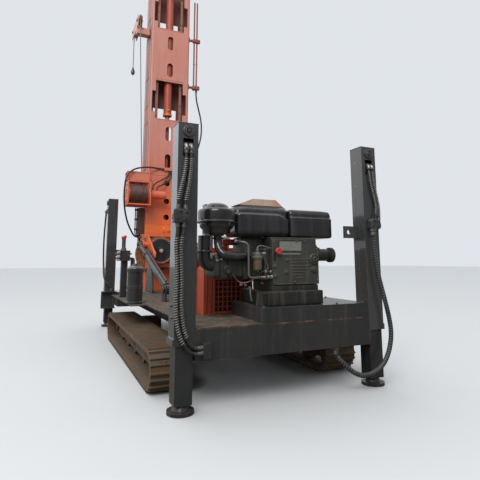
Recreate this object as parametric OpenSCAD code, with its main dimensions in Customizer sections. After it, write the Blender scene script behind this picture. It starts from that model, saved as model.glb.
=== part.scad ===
// Crawler rotary drilling rig with four jack legs, millimetres.
// Machine coordinates: X to the right of the centre line, Y forward from the
// rear face of the rear legs, Z up from the ground. placed() puts the origin
// at the middle of the ground under the machine.

/* [Jack legs] */
// Outer size of the square leg sleeve
leg_tube = 150; // [130:5:160]
// Wall of the leg sleeve
leg_wall = 8; // [6:1:10]
// Distance between the left and right leg centres
leg_pitch_x = 1634; // [1600:2:1680]
// Distance between the rear and front leg centres
leg_pitch_y = 4110; // [4060:10:4200]
// Height of the top of the sleeves
leg_top = 1988; // [1850:2:2100]
// Height of the sleeves' lower end
sleeve_low = 440; // [420:5:470]
// Free space between the inner tube and its sleeve, each side
leg_clear = 5; // [5:1:8]
// How far a leg slides out below the ground line
leg_out = 950; // [600:10:1000]
// How far a leg slides up from the ground
leg_in = 300; // [100:10:300]
// Radius of the round foot plate
foot_r = 92; // [80:2:100]
// Thickness of the foot plate
foot_t = 24; // [16:2:30]
// Depth of the check valve block on each leg
block_d = 60; // [40:2:70]

/* [Chassis] */
// Top of the deck plate above the ground
deck_top = 549; // [530:1:570]
// Thickness of the deck plate
deck_t = 8; // [5:1:12]
// Height of the chassis beams
beam_h = 210; // [180:5:220]
// Wall of the chassis beams
beam_wall = 10; // [6:1:14]
// Length of a cross beam along the machine
beam_w = 150; // [120:5:160]
// Distance between the inner webs of the two rails
rail_gap = 760; // [700:10:800]
// Width of a rail's flange
rail_flange = 60; // [50:5:80]
// Height of the engine platform
platform_h = 110; // [90:5:130]
// Length of the engine platform
platform_l = 585; // [540:5:590]

/* [Tracks] */
// Width of a track shoe
shoe_w = 320; // [280:5:330]
// Height of the track over the grousers
track_h = 340; // [320:10:420]
// Distance between sprocket and idler centres
track_base = 2370; // [2300:10:2400]
// Distance from the rear leg face to the sprocket centre
sprocket_y = 605; // [560:5:640]
// Number of shoes in one track
shoe_count = 54; // [48:1:56]
// Height of the bars on a shoe
grouser_h = 16; // [10:1:22]
// Thickness of the track's plates and links together
track_t = 34; // [28:1:38]
// Distance between the outer edges of the two tracks
track_gauge = 1884; // [1860:2:1900]

/* [Mast] */
// Width of the mast
mast_w = 690; // [660:5:720]
// Depth of the mast
mast_d = 340; // [300:5:360]
// Distance from the rear leg face to the mast's back plate
mast_y = 3920; // [3900:5:3960]
// Height of the mast's foot above the ground
mast_foot = 350; // [300:10:400]
// Height of the mast's top
mast_top = 6000; // [5850:10:6200]
// Thickness of the mast's plates
mast_wall = 10; // [8:1:12]
// Radius of the mast's rounded back corners
mast_corner = 40; // [30:2:50]
// Width of the guide rails on the mast's front
rail_w = 90; // [80:2:100]
// Thickness of the guide rails
rail_t = 20; // [16:1:24]
// Distance from the rear leg face to the mast's hinge
pivot_y = 3350; // [3300:10:3400]
// Height of the mast's hinge
pivot_z = 1080; // [1050:10:1100]
// Radius of the hinge pin
pivot_r = 30; // [24:1:34]
// Radius of the slewing flange
flange_r = 295; // [280:5:310]
// Height of the slewing flange's centre
flange_z = 1110; // [1100:5:1150]

/* [Drill head] */
// Distance from the mast's front to the drill axis
drill_reach = 300; // [280:5:320]
// Radius of the head's gearbox
gear_r = 185; // [170:5:190]
// Height of the head's lower face at its lowest stand
head_low = 950; // [930:10:1000]
// Radius of the drive spindle
spindle_r = 55; // [45:1:60]
// Travel of the head along the mast
head_travel = 3500; // [2500:50:3600]

/* [Winch] */
// Radius of the wound rope on the drum
rope_pack_r = 140; // [120:2:145]
// Radius of the rope
rope_r = 7; // [5:1:8]
// Radius of the rope's path over a guide sheave
sheave_r = 90; // [80:2:100]

/* [Hidden] */
$fn = 48;

orange = "#d9602f";
salmon = "#cf7a5e";
black = "#2b2c2d";
leg_grey = "#3a3c3d";
rust = "#6f4a36";
steel = "#8b8d8c";
engine_green = "#3b3f3a";
gloss_black = "#17181a";

leg_x = leg_pitch_x / 2;
leg_rows = [leg_tube / 2, leg_tube / 2 + leg_pitch_y];
leg_inside = leg_x - leg_tube / 2;
inner_tube = leg_tube - 2 * leg_wall - 2 * leg_clear;
beam_top = deck_top - deck_t;
beam_low = beam_top - beam_h;
platform_top = deck_top + platform_h;
mast_front = mast_y + mast_d;
drill_y = mast_front + drill_reach;
head_front = drill_y + gear_r;
mid_y = (head_front - block_d) / 2;
front_beam_y = mast_y - 40 - beam_w;

// One row per leg: side of the machine, rear or front row, turn of the cap face,
// shift of the valve block along that face, length and height of the lug (0 for none)
REAR_LEFT = [-1, 0, 0, -50, 0, 0];
REAR_RIGHT = [1, 0, 0, 0, 160, 1190];
FRONT_LEFT = [-1, 1, -90, 0, 90, 1075];
FRONT_RIGHT = [1, 1, 90, 0, 90, 1075];
LEGS = [REAR_LEFT, REAR_RIGHT, FRONT_LEFT, FRONT_RIGHT];

// Shared helpers

module placed() translate([0, -mid_y, 0]) children();

module span(lo, hi) translate(lo) cube(hi - lo);

module both_sides() {
  children();
  mirror([1, 0, 0]) children();
}

// Cylinders along X and along Y, from a point on the axis
module rod_x(p, r, l) translate(p) rotate([0, 90, 0]) cylinder(r = r, h = l);
module rod_y(p, r, l) translate(p) rotate([-90, 0, 0]) cylinder(r = r, h = l);
module rod_z(p, r, l) translate(p) cylinder(r = r, h = l);

// Cylinder between two points
module rod_between(a, b, r) {
  run = b - a;
  translate(a) rotate([0, acos(run[2] / norm(run)), atan2(run[1], run[0])])
    cylinder(r = r, h = norm(run));
}

// Hose: one skin through a ring at every point of its route
function unit(v) = v / norm(v);
function run_at(path, i) = unit(path[min(i + 1, len(path) - 1)] - path[max(i - 1, 0)]);
function ring_point(path, i, a, r, ref) =
  let (side = unit(cross(run_at(path, i), ref)), up = cross(run_at(path, i), side))
  path[i] + r * cos(a) * side + r * sin(a) * up;

module hose(path, r, ref = [0, 1, 0]) {
  sides = 10;
  last = len(path) - 1;
  points = [for (i = [0 : last]) for (j = [0 : sides - 1])
    ring_point(path, i, 360 * j / sides, r, ref)];
  walls = [for (i = [0 : last - 1]) for (j = [0 : sides - 1])
    [i * sides + j, i * sides + (j + 1) % sides,
     (i + 1) * sides + (j + 1) % sides, (i + 1) * sides + j]];
  low_cap = [for (j = [sides - 1 : -1 : 0]) j];
  high_cap = [for (j = [0 : sides - 1]) last * sides + j];
  polyhedron(points, concat(walls, [low_cap, high_cap]), convexity = 6);
}

// Ring along X, from its lower X end
module ring_x(p, r_out, r_in, l) difference() {
  rod_x(p, r_out, l);
  rod_x(p - [1, 0, 0], r_in, l + 2);
}

module ring_y(p, r_out, r_in, l) difference() {
  rod_y(p, r_out, l);
  rod_y(p - [0, 1, 0], r_in, l + 2);
}

module rounded(w, h, r) {
  translate([r, 0]) square([w - 2 * r, h]);
  translate([0, r]) square([w, h - 2 * r]);
  for (x = [r, w - r]) for (y = [r, h - r]) translate([x, y]) circle(r);
}

// Plate with the outline given in Y and Z, from x0 to x0 + t
module plate_yz(x0, t) translate([x0, 0, 0]) rotate([90, 0, 90])
  linear_extrude(t) children();

// Plate with the outline given in X and Z, from y0 to y0 + t
module plate_xz(y0, t) translate([0, y0 + t, 0]) rotate([90, 0, 0])
  linear_extrude(t) children();

// Jack legs

cap_z = leg_top - 62;
cap_r = 42;
port_w = 78;
port_h = 130;
port_z = leg_top - 117 - port_h;
collar_t = 10;
collar_h = 45;
lug_h = 100;
lug_t = 20;
block_z = 1265;
block_h = 80;
block_w = 100;
port_block_h = 45;
port_block_z = port_z + port_h / 2 - 15;
inner_low = foot_t + 36;
inner_top = leg_top - 18 - leg_in;

module at_leg(leg) translate([leg[0] * leg_x, leg_rows[leg[1]], 0])
  rotate([0, 0, leg[2]]) children();

// A front leg hangs on an arm that reaches forward from the front cross beam
module leg_arm(leg) {
  side = leg[0];
  inner = leg_inside - 120;
  x_lo = side > 0 ? inner : -leg_inside;
  span([x_lo, front_beam_y, beam_low],
       [x_lo + 120, leg_rows[1] + leg_tube / 2, beam_top]);
  scale_x = side > 0 ? 0 : 1;
  mirror([1 - scale_x, 0, 0]) translate([-channel_out, channel_y[0], channel_z[0]])
    channel(channel_out - leg_inside + 1);
}

// Channel behind a front leg, open to the rear
channel_out = 945;
channel_y = [3980, 4080];
channel_z = [286, 541];

module channel(l) difference() {
  cube([l, channel_y[1] - channel_y[0], channel_z[1] - channel_z[0]]);
  translate([-1, -1, 14])
    cube([l + 2, channel_y[1] - channel_y[0] - 13, channel_z[1] - channel_z[0] - 28]);
}

module leg_lug(leg) {
  side = leg[0];
  lug_l = leg[4];
  lug_z = leg[5];
  x_in = leg_inside - lug_l;
  x_lo = side > 0 ? x_in : -leg_inside;
  eye_x = side * (x_in + 45);
  y = leg_rows[leg[1]] - lug_t / 2;
  difference() {
    span([x_lo, y, lug_z], [x_lo + lug_l, y + lug_t, lug_z + lug_h]);
    rod_y([eye_x, y - 1, lug_z + lug_h / 2], 20, lug_t + 2);
  }
}

// Collar at the sleeve's lower end, left off where a rear leg meets its beam
module leg_collar(leg) {
  rear = leg[1] == 0;
  half = leg_tube / 2;
  lo = rear && leg[0] > 0 ? -half : -half - collar_t;
  hi = rear && leg[0] < 0 ? half : half + collar_t;
  span([lo, -half, sleeve_low], [hi, half + collar_t, sleeve_low + collar_h]);
}

module leg_sleeve(leg) placed() color(leg_grey) {
  bore = leg_tube - 2 * leg_wall;
  at_leg(leg) difference() {
    union() {
      translate([-leg_tube / 2, -leg_tube / 2, sleeve_low])
        cube([leg_tube, leg_tube, leg_top - sleeve_low]);
      leg_collar(leg);
      rod_y([0, -leg_tube / 2 - 10, cap_z], cap_r, 10);
      rod_y([0, -leg_tube / 2 - 16, cap_z], cap_r * 0.5, 16);
    }
    translate([-bore / 2, -bore / 2, sleeve_low - 1])
      cube([bore, bore, leg_top - sleeve_low - 9]);
    translate([-port_w / 2, -leg_tube / 2 - 1, port_z])
      cube([port_w, leg_wall + 2, port_h]);
  }
  if (leg[4] > 0) leg_lug(leg);
  if (leg[1] == 1) leg_arm(leg);
}

module leg_valves() placed() color(leg_grey)
  for (leg = LEGS) at_leg(leg) {
    if (leg[1] == 0)
      translate([leg[3] - block_w / 2, -leg_tube / 2 - block_d, block_z])
        cube([block_w, block_d, block_h]);
    translate([-port_w / 2, -leg_tube / 2 - 40, port_block_z])
      cube([port_w, 48, port_block_h]);
  }

module leg_inner(leg) placed() color(black) at_leg(leg) {
  difference() {
    translate([-inner_tube / 2, -inner_tube / 2, inner_low])
      cube([inner_tube, inner_tube, inner_top - inner_low]);
    translate([-inner_tube / 2 + leg_wall, -inner_tube / 2 + leg_wall, inner_low + 12])
      cube([inner_tube - 2 * leg_wall, inner_tube - 2 * leg_wall, inner_top]);
  }
  cylinder(r = foot_r, h = foot_t);
  translate([0, 0, foot_t]) cylinder(r1 = 62, r2 = 44, h = inner_low - foot_t);
}

// Tracks

track_r = track_h / 2;
track_in = track_r - grouser_h - track_t;
idler_y = sprocket_y + track_base;
track_x = track_gauge / 2 - shoe_w;
track_mid = track_x + shoe_w / 2;
belt_r = track_r - grouser_h;
loop_l = 2 * track_base + 2 * PI * belt_r;
shoe_pitch = loop_l / shoe_count;

module stadium(r) {
  for (y = [sprocket_y, idler_y]) translate([y, track_r]) circle(r);
  translate([sprocket_y, track_r - r]) square([track_base, 2 * r]);
}

// Place of a point at distance s along the loop and height h above the plates
function loop_point(s, h) =
  let (straight = track_base, arc = PI * belt_r, r = belt_r + h)
  s < straight ? [sprocket_y + s, track_r + r] :
  s < straight + arc ? let (a = (s - straight) / belt_r * 180 / PI)
    [idler_y + r * sin(a), track_r + r * cos(a)] :
  s < 2 * straight + arc ? [idler_y - (s - straight - arc), track_r - r] :
  let (a = (s - 2 * straight - arc) / belt_r * 180 / PI)
    [sprocket_y - r * sin(a), track_r - r * cos(a)];

// One shoe's outline: share of the pitch, height above the plates
SHOE = [[0.02, 0], [0.14, 0], [0.2, 1], [0.28, 1], [0.34, 0],
        [0.58, 0], [0.64, 1], [0.72, 1], [0.78, 0], [0.98, 0]];

module track_outline() difference() {
  polygon([for (i = [0 : shoe_count - 1]) for (k = SHOE)
    loop_point((i + k[0]) * shoe_pitch, k[1] * grouser_h)]);
  stadium(track_in);
}

module track() color(rust) plate_yz(track_x, shoe_w) track_outline();

module track_right() placed() track();
module track_left() placed() mirror([1, 0, 0]) track();

axle_z = track_r;
cheek_x = track_x + 60;
cheek_t = 12;
frame_w = 150;
roller_r = track_r - (track_r - track_in) - 1;

module track_frame() {
  y0 = sprocket_y + track_in + 10;
  y1 = idler_y - track_in - 10;
  low_z = track_r - track_in;
  small_r = 42;
  span([cheek_x, y0, low_z + 60], [cheek_x + frame_w, y1, axle_z + 90]);
  span([cheek_x, sprocket_y - 60, axle_z - 50],
       [cheek_x + cheek_t, idler_y + 60, axle_z + 50]);
  for (i = [0 : 4]) {
    y = y0 + 180 + i * (y1 - y0 - 360) / 4;
    rod_x([cheek_x + 15, y, low_z + small_r + 1], small_r, 120);
  }
  for (f = [0.3, 0.7]) {
    y = y0 + f * (y1 - y0);
    rod_x([cheek_x + 35, y, track_r + track_in - 26], 25, 80);
  }
  for (y = [1100, 2500]) {
    span([rail_gap / 2 + 10, y - 60, axle_z - 60], [cheek_x + 5, y + 60, axle_z + 60]);
    span([rail_gap / 2 + 10, y - 60, axle_z], [track_x - 20, y + 60, beam_low]);
  }
}

module track_frames() placed() color(rust) both_sides() track_frame();

module sprocket() {
  teeth = 10;
  root_r = track_in - 26;
  tip_r = track_in - 2;
  plate_yz(cheek_x + 45, 60) translate([sprocket_y, axle_z]) {
    circle(root_r);
    for (i = [0 : teeth - 1]) rotate(i * 360 / teeth)
      polygon([[-18, root_r - 8], [-9, tip_r], [9, tip_r], [18, root_r - 8]]);
  }
  rod_x([cheek_x + cheek_t, sprocket_y, axle_z], 72, 150);
  rod_x([cheek_x + cheek_t, sprocket_y, axle_z], 50, 178);
}

module idler() {
  rod_x([cheek_x + 40, idler_y, axle_z], track_in - 2, 26);
  rod_x([cheek_x + 84, idler_y, axle_z], track_in - 2, 26);
  rod_x([cheek_x + 40, idler_y, axle_z], track_in - 22, 70);
  rod_x([cheek_x + cheek_t, idler_y, axle_z], 46, 140);
}

module track_wheels() placed() color(rust) both_sides() {
  sprocket();
  idler();
}

// Chassis

module rail_section() difference() {
  square([rail_flange, beam_h]);
  translate([beam_wall, beam_wall]) square([rail_flange, beam_h - 2 * beam_wall]);
}

module frame_rails() placed() color(black) both_sides()
  translate([rail_gap / 2, front_beam_y, beam_low]) rotate([90, 0, 0])
    linear_extrude(front_beam_y - beam_w) rail_section();

module tube_beam(half, y0) difference() {
  span([-half, y0, beam_low], [half, y0 + beam_w, beam_top]);
  span([-half - 1, y0 + beam_wall, beam_low + beam_wall],
       [half + 1, y0 + beam_w - beam_wall, beam_top - beam_wall]);
}

hose_port = [-700, 390];

module cross_members() placed() color(black) {
  tube_beam(leg_inside, 0);
  span([hose_port[0], -55, hose_port[1] - 32], [hose_port[0] + 50, 1, hose_port[1] + 62]);
  for (y = [1100, 2500]) tube_beam(rail_gap / 2, y - beam_w / 2);
  tube_beam(leg_inside - 120, front_beam_y);
}

deck_half = leg_inside - 7;
shelf_edge = leg_x + leg_tube / 2 + 10;
shelf_y = [1650, 3150];
deck_end = 3700;

module deck_plates() placed() color(rust) {
  span([-deck_half, 0, beam_top], [deck_half, deck_end, deck_top]);
  span([-shelf_edge, shelf_y[0], beam_top], [-deck_half + 1, shelf_y[1], deck_top]);
}

platform_x = -235;

module engine_platform() placed() color(black) difference() {
  span([platform_x, 0, deck_top], [leg_inside, platform_l, platform_top]);
  span([platform_x + 8, 8, deck_top - 1],
       [leg_inside - 8, platform_l - 8, platform_top - 8]);
}

// Engine

case_x = [-100, 326];
case_y = [110, 450];
case_z = [770, 1186];
head_x = -440;
cover_t = 20;

module engine_block() placed() color(engine_green) {
  span([case_x[0], case_y[0], case_z[0]], [case_x[1], case_y[1], case_z[1]]);
  span([case_x[0] - 52, 62, platform_top], [case_x[1] + 20, case_y[1], case_z[0]]);
  span([case_x[0] - 52, case_y[1] - 1, platform_top], [case_x[0] + 5, platform_l - 5, case_z[0]]);
  span([head_x, 170, 868], [case_x[0], 420, 1050]);
  span([-300, 240, 1049], [case_x[0] + 1, 420, case_z[1]]);
  span([head_x - 60, 160, 862], [head_x, 430, 1062]);
  translate([head_x - 60, 0, 0]) rotate([0, -90, 0])
    linear_extrude(50) translate([872, 165]) rounded(180, 235, 40);
}

module cover_outline() polygon([
  [case_x[0], 820], [case_x[1], 820], [case_x[1], 1110],
  [case_x[1] - 122, 1166], [case_x[0], 1166]]);

module engine_cover() placed() color(engine_green) {
  plate_xz(case_y[0] - cover_t, cover_t) cover_outline();
  rod_y([284, case_y[0] - cover_t - 14, 1013], 36, 14);
}

module hood(x0, x1, top, r) plate_xz(160, 300) difference() {
  translate([x0, case_z[1]]) rounded(x1 - x0, top - case_z[1], r);
}

tank_x = [-370, 114];
hood_x = [120, 528];
tank_top = 1446;
hood_top = 1424;

module fuel_tank() placed() color(gloss_black) hood(tank_x[0], tank_x[1], tank_top, 60);
module radiator_hood() placed() color(gloss_black) hood(hood_x[0], hood_x[1], hood_top, 50);

module tank_lid() placed() color(salmon) plate_xz(230, 160)
  polygon([[-330, tank_top], [80, tank_top], [15, tank_top + 54], [-195, tank_top + 54]]);

cleaner_at = [-522, 200];
cleaner_r = 144;

module air_cleaner() placed() color(gloss_black)
  translate([cleaner_at[0], cleaner_at[1], 0]) rotate_extrude()
    polygon([[0, 1190], [95, 1190], [100, 1225], [126, 1258], [130, 1284], [148, 1286],
             [148, 1300], [cleaner_r - 4, 1304], [cleaner_r, 1380], [130, 1394], [100, 1400],
             [82, 1424], [45, 1440], [0, 1444]]);

// Exhaust bend and intake bend between the cleaner and the cylinder head
module air_pipes() placed() color(gloss_black) {
  rod_z([-612, 225, 1030], 50, 160);
  translate([-550, 225, 1030]) rotate([90, 0, 0]) rotate([0, 0, 180])
    rotate_extrude(angle = 90) translate([62, 0]) circle(r = 50);
  rod_z([-512, 200, 1085], 38, 105);
  span([-550, 165, 1062], [-300, 240, 1090]);
}

filter_at = [-222, 90];

module fuel_filter() placed() color(steel) {
  rod_z([filter_at[0], filter_at[1], 928], 36, 112);
  rod_z([filter_at[0], filter_at[1], 1040], 44, 34);
  span([filter_at[0] - 12, filter_at[1], 1044], [filter_at[0] + 12, 170, 1066]);
}

module hydraulic_pump() placed() color(engine_green) {
  rod_x([case_x[1], 250, 1050], 68, 24);
  rod_x([case_x[1] + 24, 250, 1050], 50, 190);
  rod_x([case_x[1] + 214, 250, 1050], 62, 36);
}

flywheel_x = 130;
flywheel_z = 940;
flywheel_r = 210;

module flywheel() placed() color(engine_green) {
  ring_y([flywheel_x, case_y[1] + 20, flywheel_z], flywheel_r, 160, 80);
  rod_y([flywheel_x, case_y[1] + 40, flywheel_z], 165, 30);
  rod_y([flywheel_x, case_y[1] + 6, flywheel_z], 40, 110);
}

// Oil tank and cooler

tank_y = 850;
cooler_y = 600;
cooler_x = [-481, -30];
cooler_top = 850;

module oil_tank() placed() color(orange) {
  span([-480, tank_y, deck_top], [-100, 1180, 1120]);
  rod_z([-170, 960, 1120], 62, 70);
  span([-505, 800, deck_top], [-475, 880, 1120]);
}

module cooler_grille() placed() color(orange) {
  cell = 41;
  bar = 8;
  x0 = cooler_x[0] + 95;
  difference() {
    union() {
      span([cooler_x[0], cooler_y, deck_top], [cooler_x[1], cooler_y + 195, cooler_top]);
      plate_xz(cooler_y, 195) polygon([
        [cooler_x[0], deck_top], [x0, deck_top], [x0, cooler_top],
        [x0 - 32, 957], [cooler_x[0] + 20, 957], [cooler_x[0], 930]]);
    }
    span([x0 + 10, cooler_y - 1, deck_top + 25], [cooler_x[1] - 12, cooler_y + 60, cooler_top - 12]);
  }
  for (x = [x0 + cell : cell : cooler_x[1] - 20])
    span([x - bar / 2, cooler_y + 6, deck_top + 20], [x + bar / 2, cooler_y + 14, cooler_top - 8]);
  for (z = [deck_top + 25 + cell : cell : cooler_top - 20])
    span([x0 + 5, cooler_y + 6, z - bar / 2], [cooler_x[1] - 8, cooler_y + 14, z + bar / 2]);
}

// Side equipment

module valve_bank() placed() color(black) {
  span([-860, 2700, deck_top], [-780, 2760, 1000]);
  span([-880, 2660, 1000], [-760, 3000, 1130]);
  for (i = [0 : 4]) rod_z([-820, 2710 + i * 60, 1130], 7, 180);
}

module oil_filter() placed() color(black) {
  rod_z([-830, 1850, deck_top], 82, 330);
  rod_z([-830, 1850, deck_top + 330], 90, 40);
}

// Mast supports and raising cylinders

tower_x = 345;
tower_t = 25;
ear_x = 300;

module tower() {
  difference() {
    union() {
      plate_yz(tower_x, tower_t) {
        polygon([[3100, deck_top], [3600, deck_top], [3600, deck_top + 60],
                 [pivot_y + 70, pivot_z], [pivot_y - 70, pivot_z], [3100, deck_top + 60]]);
        translate([pivot_y, pivot_z]) circle(70);
      }
      rod_x([tower_x, pivot_y, pivot_z], 62, 45);
    }
    rod_x([tower_x - 1, pivot_y, pivot_z], pivot_r + 0.05, 50);
  }
}

base_at = [1950, 680];
lug_at = [3720, 1250];
cyl_x = 440;
raise_run = lug_at - base_at;
raise_l = norm(raise_run);
raise_a = atan2(raise_run[1], raise_run[0]);
closed_l = 1450;
barrel_l = closed_l - 126;
rod_r = 30;
eye_r = 55;
eye_w = 50;
base_pin_r = 25;

module base_bracket() {
  for (x = [cyl_x - eye_w / 2 - 25, cyl_x + eye_w / 2 + 5])
    plate_yz(x, 20) difference() {
      union() {
        translate([base_at[0] - 70, deck_top]) square([140, base_at[1] - deck_top]);
        translate(base_at) circle(50);
      }
    }
  rod_x([cyl_x - eye_w / 2 - 30, base_at[0], base_at[1]], base_pin_r, eye_w + 60);
}

module mast_supports() placed() color(black) both_sides() {
  tower();
  base_bracket();
}

// A point on the raising cylinder's line at distance s from its foot
module along_raise(s) translate([0, base_at[0], base_at[1]])
  rotate([raise_a, 0, 0]) translate([0, s, 0]) children();

module raise_barrels() placed() color(black) both_sides() difference() {
  union() {
    rod_x([cyl_x - eye_w / 2, base_at[0], base_at[1]], eye_r, eye_w);
    along_raise(40) rod_y([cyl_x, 0, 0], 24, 50);
    along_raise(80) rod_y([cyl_x, 0, 0], 46, barrel_l - 80);
    along_raise(barrel_l - 50) rod_y([cyl_x, 0, 0], 54, 50);
  }
  rod_x([cyl_x - eye_w / 2 - 1, base_at[0], base_at[1]], base_pin_r + 0.06, eye_w + 2);
  along_raise(100) rod_y([cyl_x, 0, 0], 37, barrel_l - 100 - 50);
  along_raise(barrel_l - 51) rod_y([cyl_x, 0, 0], rod_r + 0.06, 60);
}

module raise_rods() placed() color(steel) both_sides() {
  along_raise(raise_l - 1080) rod_y([cyl_x, 0, 0], rod_r, 1080 - 30);
  along_raise(raise_l) rod_x([cyl_x - eye_w / 2, 0, 0], eye_r, eye_w);
  along_raise(raise_l) rod_x([cyl_x + eye_w / 2, 0, 0], 34, 14);
}

// Mast carrier

flange_t = 50;
flange_x = -185;
flange_y = mast_y - flange_t;
housing_at = [-145, 1155];
housing_r = 200;
housing_y = 3600;
wing_t = 25;

module carrier_wing() {
  plate_yz(ear_x, wing_t) {
    translate([pivot_y, pivot_z]) circle(70);
    polygon([[pivot_y, pivot_z - 70], [flange_y, 860], [flange_y, 1420],
             [lug_at[0], lug_at[1] + 120], [pivot_y - 50, pivot_z + 50]]);
  }
  rod_x([ear_x - 12, pivot_y, pivot_z], 62, wing_t + 14);
  rod_x([ear_x, lug_at[0], lug_at[1]], 45, cyl_x - eye_w / 2 - 5 - 20 - ear_x);
  plate_yz(cyl_x - eye_w / 2 - 25, 20) translate(lug_at) circle(70);
}

module mast_carrier() placed() color(black) {
  both_sides() carrier_wing();
  rod_y([housing_at[0], housing_y, housing_at[1]], housing_r, flange_y - housing_y);
  span([-ear_x - 1, 3700, 900], [ear_x + 1, flange_y, 960]);
  span([-ear_x - 1, 3800, 1380], [ear_x + 1, flange_y, 1440]);
  for (side = [-1, 1])
    rod_x([side > 0 ? ear_x : -tower_x - tower_t - 30, pivot_y, pivot_z],
          pivot_r, tower_x + tower_t + 30 - ear_x);
}

module slew_flange() placed() color(rust)
  rod_y([flange_x, flange_y, flange_z], flange_r, flange_t);

// Mast

rail_web = 24;
rail_gap_y = 40;
rail_x = mast_w / 2 - rail_w / 2;
window_z = [3375, 4050];
window2_z = [5025, 5700];
window_half = 235;
notch = 60;
front_window_half = 206;
slot_w = 95;
slot_h = 250;

// Section with rounded back corners, set in from the mast's faces
module mast_section(inset) translate([-mast_w / 2 + inset, inset]) {
  w = mast_w - 2 * inset;
  d = mast_d - 2 * inset;
  rounded(w, d, mast_corner - inset);
  translate([0, d / 2]) square([w, d / 2]);
}

module mast_shell() {
  difference() {
    mast_section(0);
    mast_section(mast_wall);
  }
  for (x = [-rail_x, rail_x]) {
    translate([x - rail_web / 2, mast_d - 1]) square([rail_web, rail_gap_y + 2]);
    translate([x - rail_w / 2, mast_d + rail_gap_y]) square([rail_w, rail_t]);
  }
}

module back_cut(x0, x1, z0, z1)
  span([x0, mast_y - 1, z0], [x1, mast_y + mast_wall + 1, z1]);

module slot_cut(z) translate([0, mast_y - 1, z]) {
  back = mast_wall + 2;
  r = slot_w / 2;
  for (dz = [-1, 1]) rod_y([0, 0, dz * (slot_h / 2 - r)], r, back);
  translate([-r, 0, -slot_h / 2 + r]) cube([slot_w, back, slot_h - 2 * r]);
}

pipe_x = [mast_w / 2 + 98, mast_w / 2 + 148];
pipe_y = mast_y + 50;
pipe_low = 3990;

// Blocks that the mast's hoses end in: lowest and highest corners
PORT_UP = [[5, mast_y - 40, 2480], [88, mast_y + 1, 2528]];
PORT_LEFT = [[-60, mast_y - 40, 2480], [6, mast_y + 1, 2528]];
PORT_SIDE_L = [[-mast_w / 2 - 30, 3960, 1345], [-mast_w / 2 + 1, 4010, 1405]];
PORT_SIDE_R = [[mast_w / 2 - 1, pipe_y - 25, 2640], [mast_w / 2 + 30, pipe_y + 25, 2700]];

module mast() placed() color(orange) {
  mast_body();
  for (port = [PORT_UP, PORT_LEFT, PORT_SIDE_L, PORT_SIDE_R]) span(port[0], port[1]);
}

module mast_body() difference() {
  translate([0, mast_y, mast_foot]) linear_extrude(mast_top - mast_foot) mast_shell();
  for (w = [window_z, window2_z]) {
    back_cut(-window_half, window_half, w[0], w[1]);
    back_cut(-window_half - notch, window_half + notch, w[0] + 110, w[1] - 195);
    span([-front_window_half, mast_front - mast_wall - 1, w[0] - 365],
         [front_window_half, mast_front + 1, w[1] - 380]);
  }
  for (z = [4765, 4268, 3122, 2642]) slot_cut(z);
  for (z = [2268, 1968, 1704]) rod_y([0, mast_y - 1, z], 46, mast_wall + 2);
}

feed_y = mast_y + 110;

module feed_cylinder() placed() color(orange) {
  rod_z([0, feed_y, 3460], 68, 2200);
  rod_z([0, feed_y, 1500], 36, 1960);
  span([-120, feed_y - 40, 1440], [120, feed_y + 40, 1500]);
}

module feed_chains() placed() color(rust)
  for (x = [-205, 205]) span([x - 22, mast_y + 60, 700], [x + 22, mast_y + 68, mast_top - 300]);

module mast_pipes() placed() color(orange) {
  for (x = pipe_x) rod_z([x, pipe_y, pipe_low], 14, mast_top - 310 - pipe_low);
  for (z = [4040, 4930]) rod_x([mast_w / 2, pipe_y, z], 22, 205);
}

// Hoist bracket, sheaves and rope

hoist_x = -540;
hoist_z = 5100;
hoist_pin_r = 14;
drum_at = [3745, 2035];
drum_rope_x = -415;
rope_y = drum_at[0] + rope_pack_r;
front_fall_y = 4500;
sheave_rear_y = rope_y + sheave_r;
sheave_front_y = front_fall_y - sheave_r;

module hoist_bracket() placed() color(orange) {
  span([hoist_x - 40, mast_y + 60, 4870], [-mast_w / 2, mast_y + 180, 4985]);
  for (x = [hoist_x - 40, hoist_x + 28])
    span([x, sheave_rear_y - 60, 4975], [x + 12, sheave_front_y + 60, 5160]);
  for (y = [sheave_rear_y, sheave_front_y])
    rod_x([hoist_x - 40, y, hoist_z], hoist_pin_r, 80);
}

module sheave(y) rod_sheave([hoist_x, y, hoist_z]);

module rod_sheave(p) translate(p) rotate([0, 90, 0]) rotate_extrude()
  polygon([[hoist_pin_r + 0.05, -18], [sheave_r + 14, -18], [sheave_r + 14, -14],
           [sheave_r - rope_r - 0.5, -8], [sheave_r - rope_r - 0.5, 8],
           [sheave_r + 14, 14], [sheave_r + 14, 18], [hoist_pin_r + 0.05, 18]]);

module hoist_sheave_rear() placed() color(steel) sheave(sheave_rear_y);
module hoist_sheave_front() placed() color(steel) sheave(sheave_front_y);

// Quarter turn of the rope over a sheave, from the given angle
module rope_arc(y, turn) translate([hoist_x, y, hoist_z]) rotate([90, 0, 90])
  rotate([0, 0, turn]) rotate_extrude(angle = 90) translate([sheave_r, 0])
    circle(rope_r, $fn = 24);

module hoist_rope() placed() color(steel) {
  rope_arc(sheave_rear_y, 90);
  rope_arc(sheave_front_y, 0);
  bend = [hoist_x, rope_y, hoist_z - 150];
  rod_z(bend, rope_r, 150);
  translate(bend) sphere(r = rope_r + 1);
  rod_between([drum_rope_x, rope_y, drum_at[1]], bend, rope_r);
  rod_z([hoist_x, front_fall_y, 4450], rope_r, hoist_z - 4450);
  rod_y([hoist_x, sheave_rear_y, hoist_z + sheave_r], rope_r, sheave_front_y - sheave_rear_y);
  rod_z([hoist_x, front_fall_y, 4330], 34, 130);
}

drum_shaft_r = 25;
winch_x = [-680, -330];
winch_t = 12;
winch_z = [1845, 2215];
shelf_z = [2250, 2390];

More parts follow.
